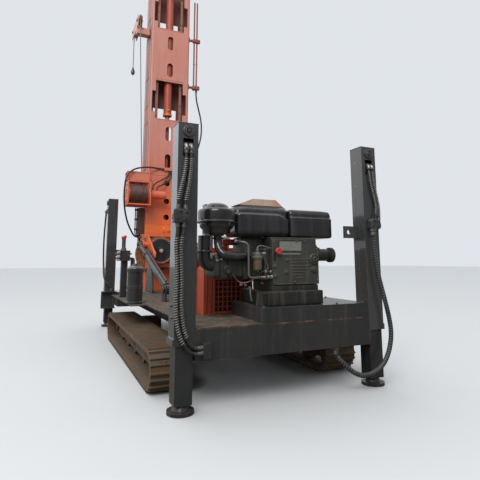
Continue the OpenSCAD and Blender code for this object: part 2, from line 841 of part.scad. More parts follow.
module winch_frame() placed() color(orange) {
  difference() {
    for (x = [winch_x[0], winch_x[1] - winch_t])
      span([x, 3590, winch_z[0]], [x + winch_t, mast_y - 11, winch_z[1]]);
    rod_x([winch_x[0] - 1, drum_at[0], drum_at[1]], drum_shaft_r + 0.05, 400);
  }
  span([winch_x[0], mast_y - 12, winch_z[0]], [-290, mast_y, shelf_z[1]]);
  difference() {
    for (z = [shelf_z[0], shelf_z[1] - 10])
      span([winch_x[0] + 5, 3740, z], [winch_x[1] + 5, mast_y - 11, z + 10]);
    span([-470, rope_y - 12, shelf_z[0] - 1], [-410, rope_y + 12, shelf_z[1] + 1]);
  }
  span([winch_x[0] + 5, 3740, shelf_z[0]], [winch_x[1] + 5, 3752, shelf_z[1]]);
  rod_x([winch_x[1] - 1, drum_at[0], drum_at[1]], 65, 250);
}

module winch_drum() placed() color(steel) {
  x0 = winch_x[0] + winch_t + 5;
  x1 = winch_x[1] - winch_t - 5;
  rod_x([x0, drum_at[0], drum_at[1]], rope_pack_r - rope_r - 0.5, x1 - x0);
  for (x = [x0, x1 - 12]) rod_x([x, drum_at[0], drum_at[1]], 157, 12);
  rod_x([winch_x[0], drum_at[0], drum_at[1]], drum_shaft_r, winch_x[1] - winch_x[0] - 2);
}

// Drill head

carriage_l = 700;
shoe_gap = 6;
carriage_y = mast_front + rail_gap_y + rail_t + shoe_gap;
carriage_t = 30;

module carriage_shoe() {
  z0 = head_low - 40;
  z1 = z0 + carriage_l;
  edge = mast_w / 2 + shoe_gap;
  span([edge, mast_front + shoe_gap, z0], [edge + 26, carriage_y + carriage_t, z1]);
  span([rail_x + rail_web / 2 + shoe_gap, mast_front + shoe_gap, z0],
       [edge + 1, mast_front + rail_gap_y - shoe_gap, z1]);
}

module head_carriage() placed() color(black) {
  both_sides() carriage_shoe();
  span([-mast_w / 2 - shoe_gap - 1, carriage_y, head_low - 40],
       [mast_w / 2 + shoe_gap + 1, carriage_y + carriage_t, head_low - 40 + carriage_l]);
}

module rotary_head() placed() color(black) {
  rod_z([0, drill_y, head_low], gear_r, 330);
  span([-gear_r, carriage_y + carriage_t, head_low], [gear_r, drill_y, head_low + 330]);
  for (x = [-95, 95]) rod_z([x, drill_y, head_low + 330], 60, 190);
}

module spindle() placed() color(steel) {
  rod_z([0, drill_y, 600], spindle_r, head_low - 5 - 600);
}

module rod_clamp() placed() color(black) difference() {
  span([-220, mast_front, 420], [220, drill_y + 170, 480]);
  rod_z([0, drill_y, 419], 110, 62);
}

// Hose routes, from their fittings

HOSE_RIGHT = [
  [797, -38, block_z], [797, -38, 1190], [800, -39, 1100], [808, -42, 1000], [822, -46, 890],
  [848, -50, 775], [876, -54, 660], [901, -58, 540], [912, -60, 435], [900, -60, 340],
  [862, -60, 245], [800, -60, 172], [715, -58, 128], [620, -54, 115], [535, -44, 145],
  [465, -18, 205], [425, 18, 260], [420, 30, 300], [420, 30, beam_low]];
HOSE_UPPER_A = [
  [-836, -24, port_block_z], [-836, -24, 1730], [-842, -27, 1660], [-856, -30, 1570],
  [-876, -32, 1480], [-890, -32, 1410], [-890, -32, block_z + block_h]];
HOSE_UPPER_B = [
  [-800, -24, port_block_z], [-800, -24, 1730], [-803, -27, 1660], [-812, -30, 1570],
  [-826, -32, 1480], [-838, -32, 1410], [-838, -32, block_z + block_h]];
HOSE_LOWER_A = [
  [-892, -32, block_z], [-892, -32, 1200], [-899, -32, 1110], [-893, -32, 990],
  [-889, -32, 860], [-891, -32, 740], [-887, -32, 640], [-872, -32, 545],
  [-838, -32, 460], [-790, -31, 405], [-745, -30, 390], [hose_port[0], -30, 390]];
HOSE_LOWER_B = [
  [-850, -32, block_z], [-850, -32, 1200], [-865, -32, 1110], [-862, -32, 990],
  [-857, -32, 860], [-857, -32, 740], [-851, -32, 645], [-836, -32, 560],
  [-808, -32, 480], [-775, -31, 438], [-742, -30, 425], [hose_port[0], -30, 425]];
HOSE_FRONT = [
  [-916, 4185, port_block_z], [-916, 4185, 1730], [-922, 4184, 1600], [-928, 4182, 1450],
  [-930, 4180, 1300], [-928, 4177, 1150], [-924, 4171, 1020], [-919, 4158, 905],
  [-917, 4125, 815], [-909, 4086, 742], [-885, 4055, 685], [-850, 4038, 640],
  [-818, 4031, 606], [-805, 4030, 580], [-805, 4030, channel_z[1]]];
HOSE_WINCH_A = [
  [-275, drum_at[0], drum_at[1] + 65], [-275, drum_at[0], 2140], [-252, 3775, 2198],
  [-190, 3815, 2255], [-110, 3850, 2305], [-40, 3880, 2352], [10, 3896, 2396],
  [30, 3900, 2440], [30, 3900, 2480]];
HOSE_WINCH_B = [
  [-200, drum_at[0], drum_at[1] + 65], [-200, drum_at[0], 2135], [-178, 3775, 2178],
  [-115, 3820, 2215], [-45, 3858, 2258], [20, 3888, 2315], [54, 3898, 2372],
  [62, 3900, 2425], [62, 3900, 2480]];
HOSE_MAST_LEFT = [
  [-60, 3900, 2505], [-120, 3900, 2505], [-200, 3880, 2504], [-320, 3820, 2494],
  [-440, 3755, 2468], [-560, 3708, 2425], [-645, 3688, 2358], [-700, 3674, 2258],
  [-718, 3664, 2130], [-722, 3662, 1990], [-712, 3672, 1850], [-684, 3710, 1715],
  [-636, 3785, 1590], [-570, 3870, 1480], [-505, 3945, 1400], [-440, 3985, 1375],
  [-mast_w / 2 - 30, 3985, 1375]];
HOSE_MAST_RIGHT = [
  [pipe_x[1], pipe_y, pipe_low], [pipe_x[1], pipe_y, 3920], [505, pipe_y, 3810],
  [538, pipe_y, 3670], [576, pipe_y, 3520], [600, pipe_y, 3360], [597, pipe_y, 3190],
  [566, pipe_y, 3020], [518, pipe_y, 2870], [478, pipe_y, 2755], [435, pipe_y, 2670],
  [mast_w / 2 + 30, pipe_y, 2670]];

module hose_right() placed() color(black) hose(HOSE_RIGHT, 21);
module hose_left_upper_a() placed() color(black) hose(HOSE_UPPER_A, 12);
module hose_left_upper_b() placed() color(black) hose(HOSE_UPPER_B, 12);
module hose_left_lower_a() placed() color(black) hose(HOSE_LOWER_A, 12);
module hose_left_lower_b() placed() color(black) hose(HOSE_LOWER_B, 12);
module hose_front_left() placed() color(black) hose(HOSE_FRONT, 13, [1, 0, 0]);
module hose_winch_a() placed() color(black) hose(HOSE_WINCH_A, 11);
module hose_winch_b() placed() color(black) hose(HOSE_WINCH_B, 11);
module hose_mast_left() placed() color(black) hose(HOSE_MAST_LEFT, 13);
module hose_mast_right() placed() color(black) hose(HOSE_MAST_RIGHT, 13);

track_left();
track_right();
track_frames();
track_wheels();
frame_rails();
cross_members();
deck_plates();
engine_platform();
leg_sleeve(REAR_LEFT);  // leg_sleeve_rear_left
leg_sleeve(REAR_RIGHT);  // leg_sleeve_rear_right
leg_sleeve(FRONT_LEFT);  // leg_sleeve_front_left
leg_sleeve(FRONT_RIGHT);  // leg_sleeve_front_right
leg_valves();
leg_inner(REAR_LEFT);  // leg_inner_rear_left
leg_inner(REAR_RIGHT);  // leg_inner_rear_right
leg_inner(FRONT_LEFT);  // leg_inner_front_left
leg_inner(FRONT_RIGHT);  // leg_inner_front_right
engine_block();
engine_cover();
fuel_tank();
tank_lid();
radiator_hood();
air_cleaner();
air_pipes();
fuel_filter();
hydraulic_pump();
flywheel();
oil_tank();
cooler_grille();
valve_bank();
oil_filter();
mast_supports();
raise_barrels();
raise_rods();
mast_carrier();
slew_flange();
mast();
feed_cylinder();
feed_chains();
mast_pipes();
hoist_bracket();
hoist_sheave_rear();
hoist_sheave_front();
hoist_rope();
winch_frame();
winch_drum();
head_carriage();
rotary_head();
spindle();
rod_clamp();
hose_right();
hose_left_upper_a();
hose_left_upper_b();
hose_left_lower_a();
hose_left_lower_b();
hose_front_left();
hose_winch_a();
hose_winch_b();
hose_mast_left();
hose_mast_right();
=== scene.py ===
# %% [markdown]
# A small crawler drilling rig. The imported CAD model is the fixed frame: it says
# where every beam, leg, pin and plate is, in metres, with +Y forward and +Z up.
# This script adds what the eye looks for on top of it: paint with wear, hoses,
# bolts, springs, welds and castings.

# %% Load the frame
import math
import bpy
import bmesh
import numpy as np
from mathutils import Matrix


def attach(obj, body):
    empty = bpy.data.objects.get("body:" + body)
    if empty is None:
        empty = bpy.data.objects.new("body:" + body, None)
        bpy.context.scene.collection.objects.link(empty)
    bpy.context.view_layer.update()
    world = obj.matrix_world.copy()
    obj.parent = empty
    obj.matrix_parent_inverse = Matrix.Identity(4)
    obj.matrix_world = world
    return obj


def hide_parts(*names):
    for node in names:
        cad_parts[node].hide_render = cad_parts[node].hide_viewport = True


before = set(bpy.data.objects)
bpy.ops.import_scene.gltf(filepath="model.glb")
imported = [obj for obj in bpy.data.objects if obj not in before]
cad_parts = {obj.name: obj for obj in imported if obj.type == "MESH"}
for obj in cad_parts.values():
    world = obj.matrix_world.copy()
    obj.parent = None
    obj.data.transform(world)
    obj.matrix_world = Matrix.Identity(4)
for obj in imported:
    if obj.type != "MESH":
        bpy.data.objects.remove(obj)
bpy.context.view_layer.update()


def link_object(name, data):
    """An object for the data, placed in the scene."""
    made = bpy.data.objects.new(name, data)
    bpy.context.scene.collection.objects.link(made)
    return made


# %% [markdown]
# The camera stands behind the machine's left rear corner, at chest height, and
# looks slightly up. The lens is short and the picture is cropped high, so the
# camera has a vertical shift instead of more tilt: upright edges stay upright.

# %% Camera
LENS_PX, FRAME_PX, SENSOR_MM = 416.47, 480.0, 36.0
camera_data = bpy.data.cameras.new("photo_camera")
camera_data.sensor_width = SENSOR_MM
camera_data.lens = SENSOR_MM * LENS_PX / FRAME_PX
camera_data.shift_x = -0.0014
camera_data.shift_y = -0.0929
camera_data.clip_end = 200.0
camera = link_object("photo_camera", camera_data)
camera.location = (-1.6532, -5.1371, 1.0025)
camera.rotation_euler = (math.pi / 2 + 0.1552, 0.0011, -0.4191)
bpy.context.scene.camera = camera


# %% [markdown]
# Sky, floor and paint are all made of shader nodes. A few helpers add a node,
# fill its sockets with numbers, colours or other sockets, and return its output.

# %% Node helpers
def put(tree, socket, value):
    """Gives a socket a number, a colour or the output of another node."""
    if isinstance(value, bpy.types.NodeSocket):
        tree.links.new(value, socket)
    else:
        socket.default_value = (*value, 1) if socket.type == "RGBA" else value


def node(tree, kind, inputs=None, **settings):
    """A new shader node with its settings and its inputs, which go by name or number."""
    made = tree.nodes.new("ShaderNode" + kind)
    for label, value in settings.items():
        setattr(made, label, value)
    for label, value in (inputs or {}).items():
        put(tree, made.inputs[label], value)
    return made


def arithmetic(tree, operation, a, b, clamp=False):
    """One step of arithmetic between sockets or numbers."""
    return node(tree, "Math", {0: a, 1: b}, operation=operation, use_clamp=clamp).outputs[0]


def ramp(tree, value, low, high, first=0.0, last=1.0):
    """Goes smoothly from first to last while the value goes from low to high."""
    edges = {"Value": value, "From Min": low, "From Max": high, "To Min": first, "To Max": last}
    return node(tree, "MapRange", edges, interpolation_type="SMOOTHSTEP").outputs[0]


def tint_mix(tree, factor, a, b):
    """A mix of two colours."""
    return node(tree, "Mix", {0: factor, 6: a, 7: b}, data_type="RGBA").outputs[2]


def object_axes(tree):
    """X, Y and Z of the Object coordinates as three sockets."""
    return node(tree, "SeparateXYZ", {0: node(tree, "TexCoord").outputs["Object"]}).outputs


# %% [markdown]
# An overcast day lights a machine like this: a bright sky above and to the front
# left, a darker yard behind the camera, and ground that gives back little light.
# So the sky's brightness follows its direction, and the floor is pale only where
# the camera sees it: to every other ray it is as dark as grass.

# %% Stage and light
FLOOR_HALF, FLOOR_Z = 60.0, -0.002
floor_mesh = bpy.data.meshes.new("floor")
floor_mesh.from_pydata([(x * FLOOR_HALF, y * FLOOR_HALF, FLOOR_Z) for x, y in ((-1, -1), (1, -1), (1, 1), (-1, 1))],
                       [], [(0, 1, 2, 3)])
link_object("floor", floor_mesh)
floor_paint = bpy.data.materials.new("floor_paint")
floor_paint.use_nodes = True
floor_tree = floor_paint.node_tree
floor_shader = floor_tree.nodes["Principled BSDF"].inputs
floor_seen = node(floor_tree, "LightPath").outputs["Is Camera Ray"]
put(floor_tree, floor_shader["Roughness"], 0.9)
put(floor_tree, floor_shader["Base Color"], tint_mix(floor_tree, floor_seen, (0.15, 0.15, 0.12), (0.62, 0.62, 0.61)))
floor_mesh.materials.append(floor_paint)

world = bpy.data.worlds.new("overcast")
bpy.context.scene.world = world
world.use_nodes = True
sky = world.node_tree
toward = node(sky, "SeparateXYZ", {0: node(sky, "TexCoord").outputs["Generated"]}).outputs
upper = ramp(sky, toward["Z"], 0.0, 0.8, 0.62, 1.25)
sideways = ramp(sky, toward["X"], -0.8, 0.9, 1.2, 0.7)
forward = ramp(sky, toward["Y"], -0.75, 0.35, 0.55, 1.3)
sky_light = sky.nodes["Background"]
put(sky, sky_light.inputs["Color"], (0.88, 0.92, 0.97))
level = arithmetic(sky, "MULTIPLY", arithmetic(sky, "MULTIPLY", upper, sideways), forward)
put(sky, sky_light.inputs["Strength"], level)
sky_seen = node(sky, "Background", {"Color": (0.75, 0.78, 0.82), "Strength": 1.0})
pick = node(sky, "MixShader", {0: node(sky, "LightPath").outputs["Is Camera Ray"], 1: sky_light.outputs[0],
                               2: sky_seen.outputs[0]})
put(sky, sky.nodes["World Output"].inputs["Surface"], pick.outputs[0])

LAMP_PLACE, LAMP_TARGET = np.array((-6.0, -10.0, 11.0)), np.array((0.0, 0.0, 3.0))
lamp_data = bpy.data.lights.new("key_lamp", "AREA")
lamp_data.energy = 1000
lamp_data.size = 7.0
lamp = link_object("key_lamp", lamp_data)
lamp.location = LAMP_PLACE
aim = LAMP_TARGET - LAMP_PLACE
lamp.rotation_euler = (math.pi / 2 + math.atan2(aim[2], math.hypot(aim[0], aim[1])), 0, math.atan2(-aim[0], aim[1]))
bpy.context.scene.view_settings.view_transform = "Standard"


# %% [markdown]
# Working paint is never one colour. It fades in patches, collects dust on what
# faces up, streaks downwards and lets rust through in spots. One node group
# holds all of this, and every painted or rusty material places it with its own
# colours and amounts.

# %% Wear group
COLOURS = ("Paint", "Faded", "Dirt", "Rust")
AMOUNTS = ("Fade Amount", "Dirt Amount", "Rust Amount", "Edge Wear", "Gloss", "Scale")


def wear_group():
    """Node group: paint with fade, streaks, dust and rust, from Object coordinates."""
    group = bpy.data.node_groups.new("wear", "ShaderNodeTree")
    for way, kind, labels in (("INPUT", "Color", COLOURS), ("INPUT", "Float", AMOUNTS),
                              ("OUTPUT", "Color", ("Color",)), ("OUTPUT", "Float", ("Roughness", "Height"))):
        for label in labels:
            group.interface.new_socket(label, in_out=way, socket_type="NodeSocket" + kind)
    given = group.nodes.new("NodeGroupInput").outputs
    result = group.nodes.new("NodeGroupOutput").inputs
    place = node(group, "TexCoord").outputs["Object"]
    sized = node(group, "VectorMath", {0: place, "Scale": given["Scale"]}, operation="SCALE").outputs[0]

    def noise(scale, detail, rough, source=sized):
        """Noise at a scale."""
        return node(group, "TexNoise", {"Vector": source, "Scale": scale, "Detail": detail,
                                        "Roughness": rough}).outputs["Fac"]

    def rise(value, low, high):
        """Goes smoothly from 0 to 1."""
        return ramp(group, value, low, high)

    def times(a, b, clamp=False):
        """The product of two values."""
        return arithmetic(group, "MULTIPLY", a, b, clamp)

    def plus(a, b, clamp=False):
        """The sum of two values."""
        return arithmetic(group, "ADD", a, b, clamp)

    broad = noise(1.7, 6, 0.6)
    fine = noise(34.0, 8, 0.65)
    spots = noise(9.0, 10, 0.7)
    streaks = noise(5.0, 6, 0.6, node(group, "Mapping", {"Vector": sized, "Scale": (3.0, 3.0, 0.22)}).outputs[0])
    faded = tint_mix(group, times(rise(broad, 0.35, 0.68), given["Fade Amount"]), given["Paint"], given["Faded"])
    normal = node(group, "NewGeometry").outputs["Normal"]
    upward = rise(node(group, "SeparateXYZ", {0: normal}).outputs["Z"], 0.2, 1.0)
    dusty = times(upward, rise(fine, 0.2, 0.75))
    grime = times(arithmetic(group, "MAXIMUM", rise(streaks, 0.48, 0.72), dusty), given["Dirt Amount"], True)
    dirty = tint_mix(group, grime, faded, given["Dirt"])
    bent = node(group, "Bevel", {"Radius": 0.008}, samples=4).outputs[0]
    turned_by = node(group, "VectorMath", {0: bent, 1: normal}, operation="DOT_PRODUCT").outputs["Value"]
    chipped = times(times(rise(turned_by, 0.995, 0.86), rise(spots, 0.4, 0.56)), given["Edge Wear"])
    threshold = arithmetic(group, "SUBTRACT", 0.72, times(given["Rust Amount"], 0.34))
    rusted = arithmetic(group, "MAXIMUM", rise(spots, threshold, plus(threshold, 0.06)), chipped)
    rust_shade = tint_mix(group, rise(fine, 0.3, 0.7), given["Rust"], given["Dirt"])
    rough = plus(plus(given["Gloss"], times(grime, 0.35)), times(rusted, 0.4))
    rough = plus(rough, times(arithmetic(group, "SUBTRACT", fine, 0.5), 0.18), True)
    put(group, result["Color"], tint_mix(group, rusted, dirty, rust_shade))
    put(group, result["Roughness"], rough)
    put(group, result["Height"], plus(times(fine, 0.3), times(rusted, -0.6)))
    return group


wear = wear_group()


def worn_paint(name, paint, faded, amounts, dirt=(0.16, 0.13, 0.10), rust=(0.20, 0.075, 0.035), scale=1.0,
               metallic=0.0, bump=0.15, round_edge=0.003, coat=0.0):
    """A material that feeds the wear group into one Principled shader."""
    material = bpy.data.materials.new(name)
    material.use_nodes = True
    tree = material.node_tree
    shader = tree.nodes["Principled BSDF"].inputs
    values = dict(zip(COLOURS + AMOUNTS, (paint, faded, dirt, rust, *amounts, scale)))
    group = tree.nodes.new("ShaderNodeGroup")
    group.node_tree = wear
    for label, value in values.items():
        put(tree, group.inputs[label], value)
    relief = node(tree, "Bump", {"Strength": bump, "Distance": 0.002, "Height": group.outputs["Height"]})
    if round_edge:
        put(tree, relief.inputs["Normal"], node(tree, "Bevel", {"Radius": round_edge}, samples=4).outputs[0])
    for label, value in (("Base Color", group.outputs["Color"]), ("Roughness", group.outputs["Roughness"]),
                         ("Normal", relief.outputs[0]), ("Metallic", metallic), ("Coat Weight", coat)):
        put(tree, shader[label], value)
    return material


def blend_by_height(material, label, low_colour, high_colour, low, high):
    """Changes one colour of a worn paint from low_colour below to high_colour above."""
    tree = material.node_tree
    group = next(made for made in tree.nodes if made.type == "GROUP")
    height = ramp(tree, object_axes(tree)["Z"], low, high)
    put(tree, group.inputs[label], tint_mix(tree, height, low_colour, high_colour))


def tint_inside_box(material, low, high, shade, amount):
    """Paints what lies inside a box in another colour; darker colours here are painted shade, as on a hollow beam's
    unlit inside.
    """
    tree = material.node_tree
    axes = object_axes(tree)
    inside = amount
    for axis, *edges in zip("XYZ", low, high):
        for operation, edge in zip(("GREATER_THAN", "LESS_THAN"), edges):
            inside = arithmetic(tree, "MULTIPLY", arithmetic(tree, operation, axes[axis], edge), inside)
    colour = tree.nodes["Principled BSDF"].inputs["Base Color"]
    put(tree, colour, tint_mix(tree, inside, colour.links[0].from_socket, shade))


# %% [markdown]
# One table holds all finishes. Each row has the paint's colour, its faded colour,
# the amounts of fading, dirt, rust and worn edges, the roughness, and what differs.

# %% Materials
# In the table below, the far legs' row is a lighter copy of the leg paint: painted light.
# In the table below, the feed cylinder's row is a darker copy of the mast orange: painted shade for its place inside
# the mast.
PAINTS = """
mast_orange     .86 .18 .07  .8 .26 .14  .8 .2 .1 .4 .42
boss_orange     1 .235 .06  .95 .31 .11  .6 .25 .1 .4 .36
cylinder_orange .56 .1 .06  .52 .15 .1  .8 .3 .1 .3 .42
pipe_red        .34 .085 .06  .42 .15 .12  .8 .2 .1 .3 .42
chain_brown     .5 .19 .14  .4 .2 .15  .8 .5 .5 .3 .5
box_orange      .34 .038 .013  .38 .07 .028  .6 .3 .15 .5 .36
cooler_orange   .44 .055 .018  .46 .085 .034  .6 .35 .2 .5 .36
chassis_black   .02 .021 .023  .042 .041 .039  .7 .22 .22 .5 .34  coat=.2
leg_paint       .024 .025 .028  .042 .042 .044  .6 .15 .2 .5 .28  coat=.8
far_leg_paint   .045 .046 .047  .066 .066 .065  .6 .15 .2 .5 .28  coat=.8
gloss_black     .016 .015 .018  .032 .029 .034  .7 .18 .04 .1 .2  bump=.05  coat=.35
engine_cast     .023 .025 .021  .042 .043 .036  .8 .4 .2 .5 .45  bump=.4  scale=2
cover_cast      .04 .042 .036  .06 .06 .052  .8 .4 .1 .5 .42  bump=.3  scale=2
base_cast       .014 .015 .013  .028 .027 .023  .8 .35 .25 .5 .38  bump=.3  scale=2
deck_rust       .034 .023 .016  .058 .039 .027  .9 .5 .6 .6 .82  bump=.4
track_rust      .1 .068 .048  .14 .105 .07  .9 .6 .7 .5 .65  bump=.6  dirt=.09,.085,.05
slew_rust       .3 .11 .05  .38 .19 .1  .8 .4 .5 .5 .5  bump=.4
bright_steel    .42 .42 .41  .3 .29 .27  .5 .3 .1 .2 .28  metallic=.9  bump=.1
rod_steel       .16 .155 .15  .12 .11 .1  .6 .5 .3 .2 .32  metallic=.8  bump=.1
drum_wire       .22 .12 .1  .15 .085 .07  .8 .4 .35 .2 .5  bump=.1  scale=2  round_edge=0  metallic=.4
spiral_grey     .12 .12 .125  .2 .2 .195  .7 .3 0 0 .32  bump=.05  scale=3  round_edge=0
band_brown      .085 .03 .02  .13 .05 .032  .8 .4 .4 .4 .5  bump=.2
zinc            .46 .45 .43  .36 .34 .31  .6 .25 .2 .2 .35  bump=.1  scale=3  round_edge=0  metallic=.85
zinc_dark       .16 .155 .15  .1 .095 .09  .6 .4 .4 .3 .4  bump=.1  scale=3  round_edge=0  metallic=.7
wire_rope       .2 .19 .18  .13 .12 .11  .7 .4 .3 .2 .4  bump=.1  scale=3  round_edge=0  metallic=.8
dull_alloy      .2 .2 .185  .14 .135 .12  .6 .4 .15 .2 .42  bump=.15  scale=3  round_edge=0  metallic=.6
plate_metal     .33 .33 .31  .42 .41 .38  .8 .45 .1 .2 .35  bump=.05  scale=3  round_edge=0  metallic=.5
brass           .42 .2 .1  .33 .17 .09  .5 .3 .05 .1 .35  bump=.1  scale=3  round_edge=0  metallic=.8
amber_bowl      .13 .085 .045  .2 .14 .08  .8 .3 0 0 .18  bump=.02  scale=4  round_edge=0  coat=.5
knob_red        .62 .03 .035  .7 .1 .09  .6 .15 0 0 .35  bump=.02  scale=3  round_edge=0
lid_paint       .62 .3 .2  .7 .58 .48  1 .5 .15 .4 .55  scale=1.6  dirt=.52,.44,.36
hose_rubber     .014 .014 .015  .035 .033 .031  .6 .4 0 0 .42  bump=.05  scale=3  round_edge=0
shadow_black    .006 .006 .006  .008 .008 .008  .2 .1 0 0 .8  bump=0  round_edge=0
"""
finish = {}
for name, *words in map(str.split, PAINTS.strip().splitlines()):
    numbers = [float(word) for word in words if "=" not in word]
    extra = {}
    for word in words[len(numbers):]:
        label, text = word.split("=")
        extra[label] = tuple(map(float, text.split(","))) if "," in text else float(text)
    finish[name] = worn_paint(name, numbers[:3], numbers[3:6], numbers[6:], **extra)
# the mast's paint and faded colours go from a deeper orange low down to a paler pink higher up
blend_by_height(finish["mast_orange"], "Paint", (0.96, 0.175, 0.055), (0.78, 0.30, 0.23), 1.5, 3.1)
blend_by_height(finish["mast_orange"], "Faded", (0.85, 0.21, 0.10), (0.80, 0.36, 0.29), 1.4, 3.0)
# painted light: the leg paint turns lighter and bluer from 1.25 m to 2.05 m up, as sky light on the legs' upper parts
blend_by_height(finish["leg_paint"], "Paint", (0.024, 0.025, 0.027), (0.060, 0.064, 0.074), 1.25, 2.05)
for name, low, high, shade, amount in (
        # painted shade: the inside of the hollow mast, seen through its windows, is painted dark
        ("mast_orange", (-0.3355, 1.586, 0.3), (0.3355, 1.909, 6.1), (0.13, 0.055, 0.058), 0.82),
        # painted shade: the recessed channel on the mast's left side is painted darker
        ("mast_orange", (-0.36, 1.606, 2.2), (-0.3440, 1.884, 6.1), (0.13, 0.020, 0.012), 0.85),
        # a brighter, yellower orange on the mast's lower rear face, below the seam
        ("mast_orange", (-0.36, 1.555, 0.9), (0.36, 1.60, 1.593), (0.98, 0.23, 0.045), 0.75),
        # painted shade: the inside of the cooler behind its mesh is painted near black
        ("cooler_orange", (-0.3775, -1.7265, 0.56), (-0.040, -1.6820, 0.8385), (0.040, 0.020, 0.014), 0.95)):
    tint_inside_box(finish[name], low, high, shade, amount)

# every CAD node that isn't named here is chassis_black
NODE_FINISH = {
    "mast_orange": "mast hoist_bracket winch_frame mast_carrier winch_drum",
    # painted shade: the feed cylinder is a darker orange than the mast because it sits in the mast's unlit inside
    "cylinder_orange": "feed_cylinder",
    "pipe_red": "mast_pipes",
    "chain_brown": "feed_chains",
    "box_orange": "oil_tank",
    "cooler_orange": "cooler_grille",
    "leg_paint": "leg_sleeve_rear_left",
    # painted light: the three far legs get a lighter copy of the leg paint
    "far_leg_paint": "leg_sleeve_rear_right leg_sleeve_front_left leg_sleeve_front_right",
    "gloss_black": "fuel_tank radiator_hood air_cleaner air_pipes",
    "engine_cast": "engine_block engine_cover hydraulic_pump flywheel",
    "deck_rust": "deck_plates",
    "track_rust": "track_left track_right track_frames track_wheels",
    "slew_rust": "slew_flange",
    "bright_steel": "fuel_filter hoist_sheave_rear hoist_sheave_front hoist_rope spindle",
    "rod_steel": "raise_rods",
    "lid_paint": "tank_lid"}
painted = {name: label for label, names in NODE_FINISH.items() for name in names.split()}
for name, cad_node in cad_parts.items():
    cad_node.data.materials.clear()
    cad_node.data.materials.append(finish[painted.get(name, "chassis_black")])


# %% [markdown]
# Every shape below is a skin: rings of points joined by quads. A ring is a row
# of a numpy array, so one helper turns any stack of rings into a mesh, and the
# shapes themselves are only formulas for the rings. Places and sizes of fittings
# are in millimetres, measured from the machine's rear edge.

# %% Mesh helpers
MIDDLE = 2.3425
MM = 1000
REAR, FRONT, LEFT, RIGHT, UP, DOWN = (0, -1, 0), (0, 1, 0), (-1, 0, 0), (1, 0, 0), (0, 0, 1), (0, 0, -1)


def rig(*points):
    """Millimetres from the machine's rear edge, turned to metres in the CAD frame."""
    return np.asarray(points, float) / MM - (0, MIDDLE, 0)


def table(data):
    """Rows of numbers; they may be written as text, with commas between the rows."""
    return np.array([row.split() for row in data.split(",")] if isinstance(data, str) else data, float)


def skin(rings):
    """Joins rings (rows, count, 3) to quads, and closes both ends with a fan from the middle."""
    rows, count = rings.shape[:2]
    index = np.arange(rows * count).reshape(rows, count)
    turned_index = np.roll(index, -1, axis=1)
    quads = np.stack([index[:-1], turned_index[:-1], turned_index[1:], index[1:]], axis=-1).reshape(-1, 4).tolist()
    middle = rows * count
    points = np.vstack([rings.reshape(-1, 3), rings[[0, -1]].mean(axis=1)])
    low = np.stack([turned_index[0], index[0], np.full(count, middle)], axis=-1).tolist()
    high = np.stack([index[-1], turned_index[-1], np.full(count, middle + 1)], axis=-1).tolist()
    return points, quads + low + high


def gather(shapes):
    """Puts several (points, faces) shapes into one, shifting the face numbers."""
    points, faces, start = [], [], 0
    for shape_points, shape_faces in shapes:
        points.append(shape_points)
        faces += [[i + start for i in face] for face in shape_faces]
        start += len(shape_points)
    return np.vstack(points), faces


def piece(name, shapes, material, body="chassis", sharp=35.0, node_name=None):
    """A finished mesh object from a list of shapes, riding on a body; it may replace a CAD node."""
    points, faces = gather(shapes)
    mesh = bpy.data.meshes.new(name)
    mesh.from_pydata(points.tolist(), [], faces)
    tidy = bmesh.new()
    tidy.from_mesh(mesh)
    bmesh.ops.remove_doubles(tidy, verts=tidy.verts, dist=1e-6)
    bmesh.ops.dissolve_degenerate(tidy, edges=tidy.edges, dist=1e-7)
    bmesh.ops.recalc_face_normals(tidy, faces=tidy.faces)
    tidy.to_mesh(mesh)
    tidy.free()
    mesh.materials.append(finish[material])
    mesh.shade_smooth()
    mesh.set_sharp_from_angle(angle=math.radians(sharp))
    made = link_object(name, mesh)
    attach(made, body)
    if node_name:
        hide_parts(node_name)
    return made


def axes_for(direction):
    """Two unit vectors square to a direction and to each other, and the direction."""
    d = np.asarray(direction, float)
    d = d / np.linalg.norm(d)
    side = np.cross(d, (0, 0, 1.0) if abs(d[2]) < 0.9 else (0, 1.0, 0))
    side = side / np.linalg.norm(side)
    return side, np.cross(d, side), d


def lathe(profile, base, direction, sides):
    """A turned shape, in metres: each (radius, height) of the profile is a circle round the axis."""
    side, up, d = axes_for(direction)
    turn = np.linspace(0, 2 * np.pi, sides, endpoint=False)
    circle = np.cos(turn)[:, None] * side + np.sin(turn)[:, None] * up
    return skin(np.asarray(base) + profile[:, 0, None, None] * circle + profile[:, 1, None, None] * d)


def turned(profile, place, direction=UP, sides=40):
    """A turned shape at a place of the machine, in millimetres."""
    return lathe(table(profile) / MM, rig(place)[0], direction, sides)


def bolts(places, direction, radius, height):
    """Bolt heads: a hexagon that rises, then narrows to its bevelled top."""
    head = [(radius, 0), (radius, 0.8 * height), (0.8 * radius, height)]
    return gather([turned(head, place, direction, 6) for place in places])


def spread(count, start=0.0):
    """Even angles round a circle."""
    return start + np.arange(count) * 2 * np.pi / count


def circle_of(centre, r, axis, angles):
    """Places round a centre at some angles, in the plane square to an axis."""
    a, b = (flat for flat in range(3) if flat != axis)
    places = np.tile(np.array(centre, float), (len(angles), 1))
    places[:, a] += r * np.cos(angles)
    places[:, b] += r * np.sin(angles)
    return places


def frames_along(path):
    """Tangent, side and up vectors at every point of a path, with no sudden twist."""
    tangent = np.gradient(path, axis=0)
    tangent /= np.linalg.norm(tangent, axis=1)[:, None]
    side = np.zeros_like(tangent)
    side[0] = axes_for(tangent[0])[0]
    for i in range(1, len(path)):
        step = side[i - 1] - tangent[i] * side[i - 1].dot(tangent[i])
        side[i] = step / np.linalg.norm(step)
    return tangent, side, np.cross(tangent, side)


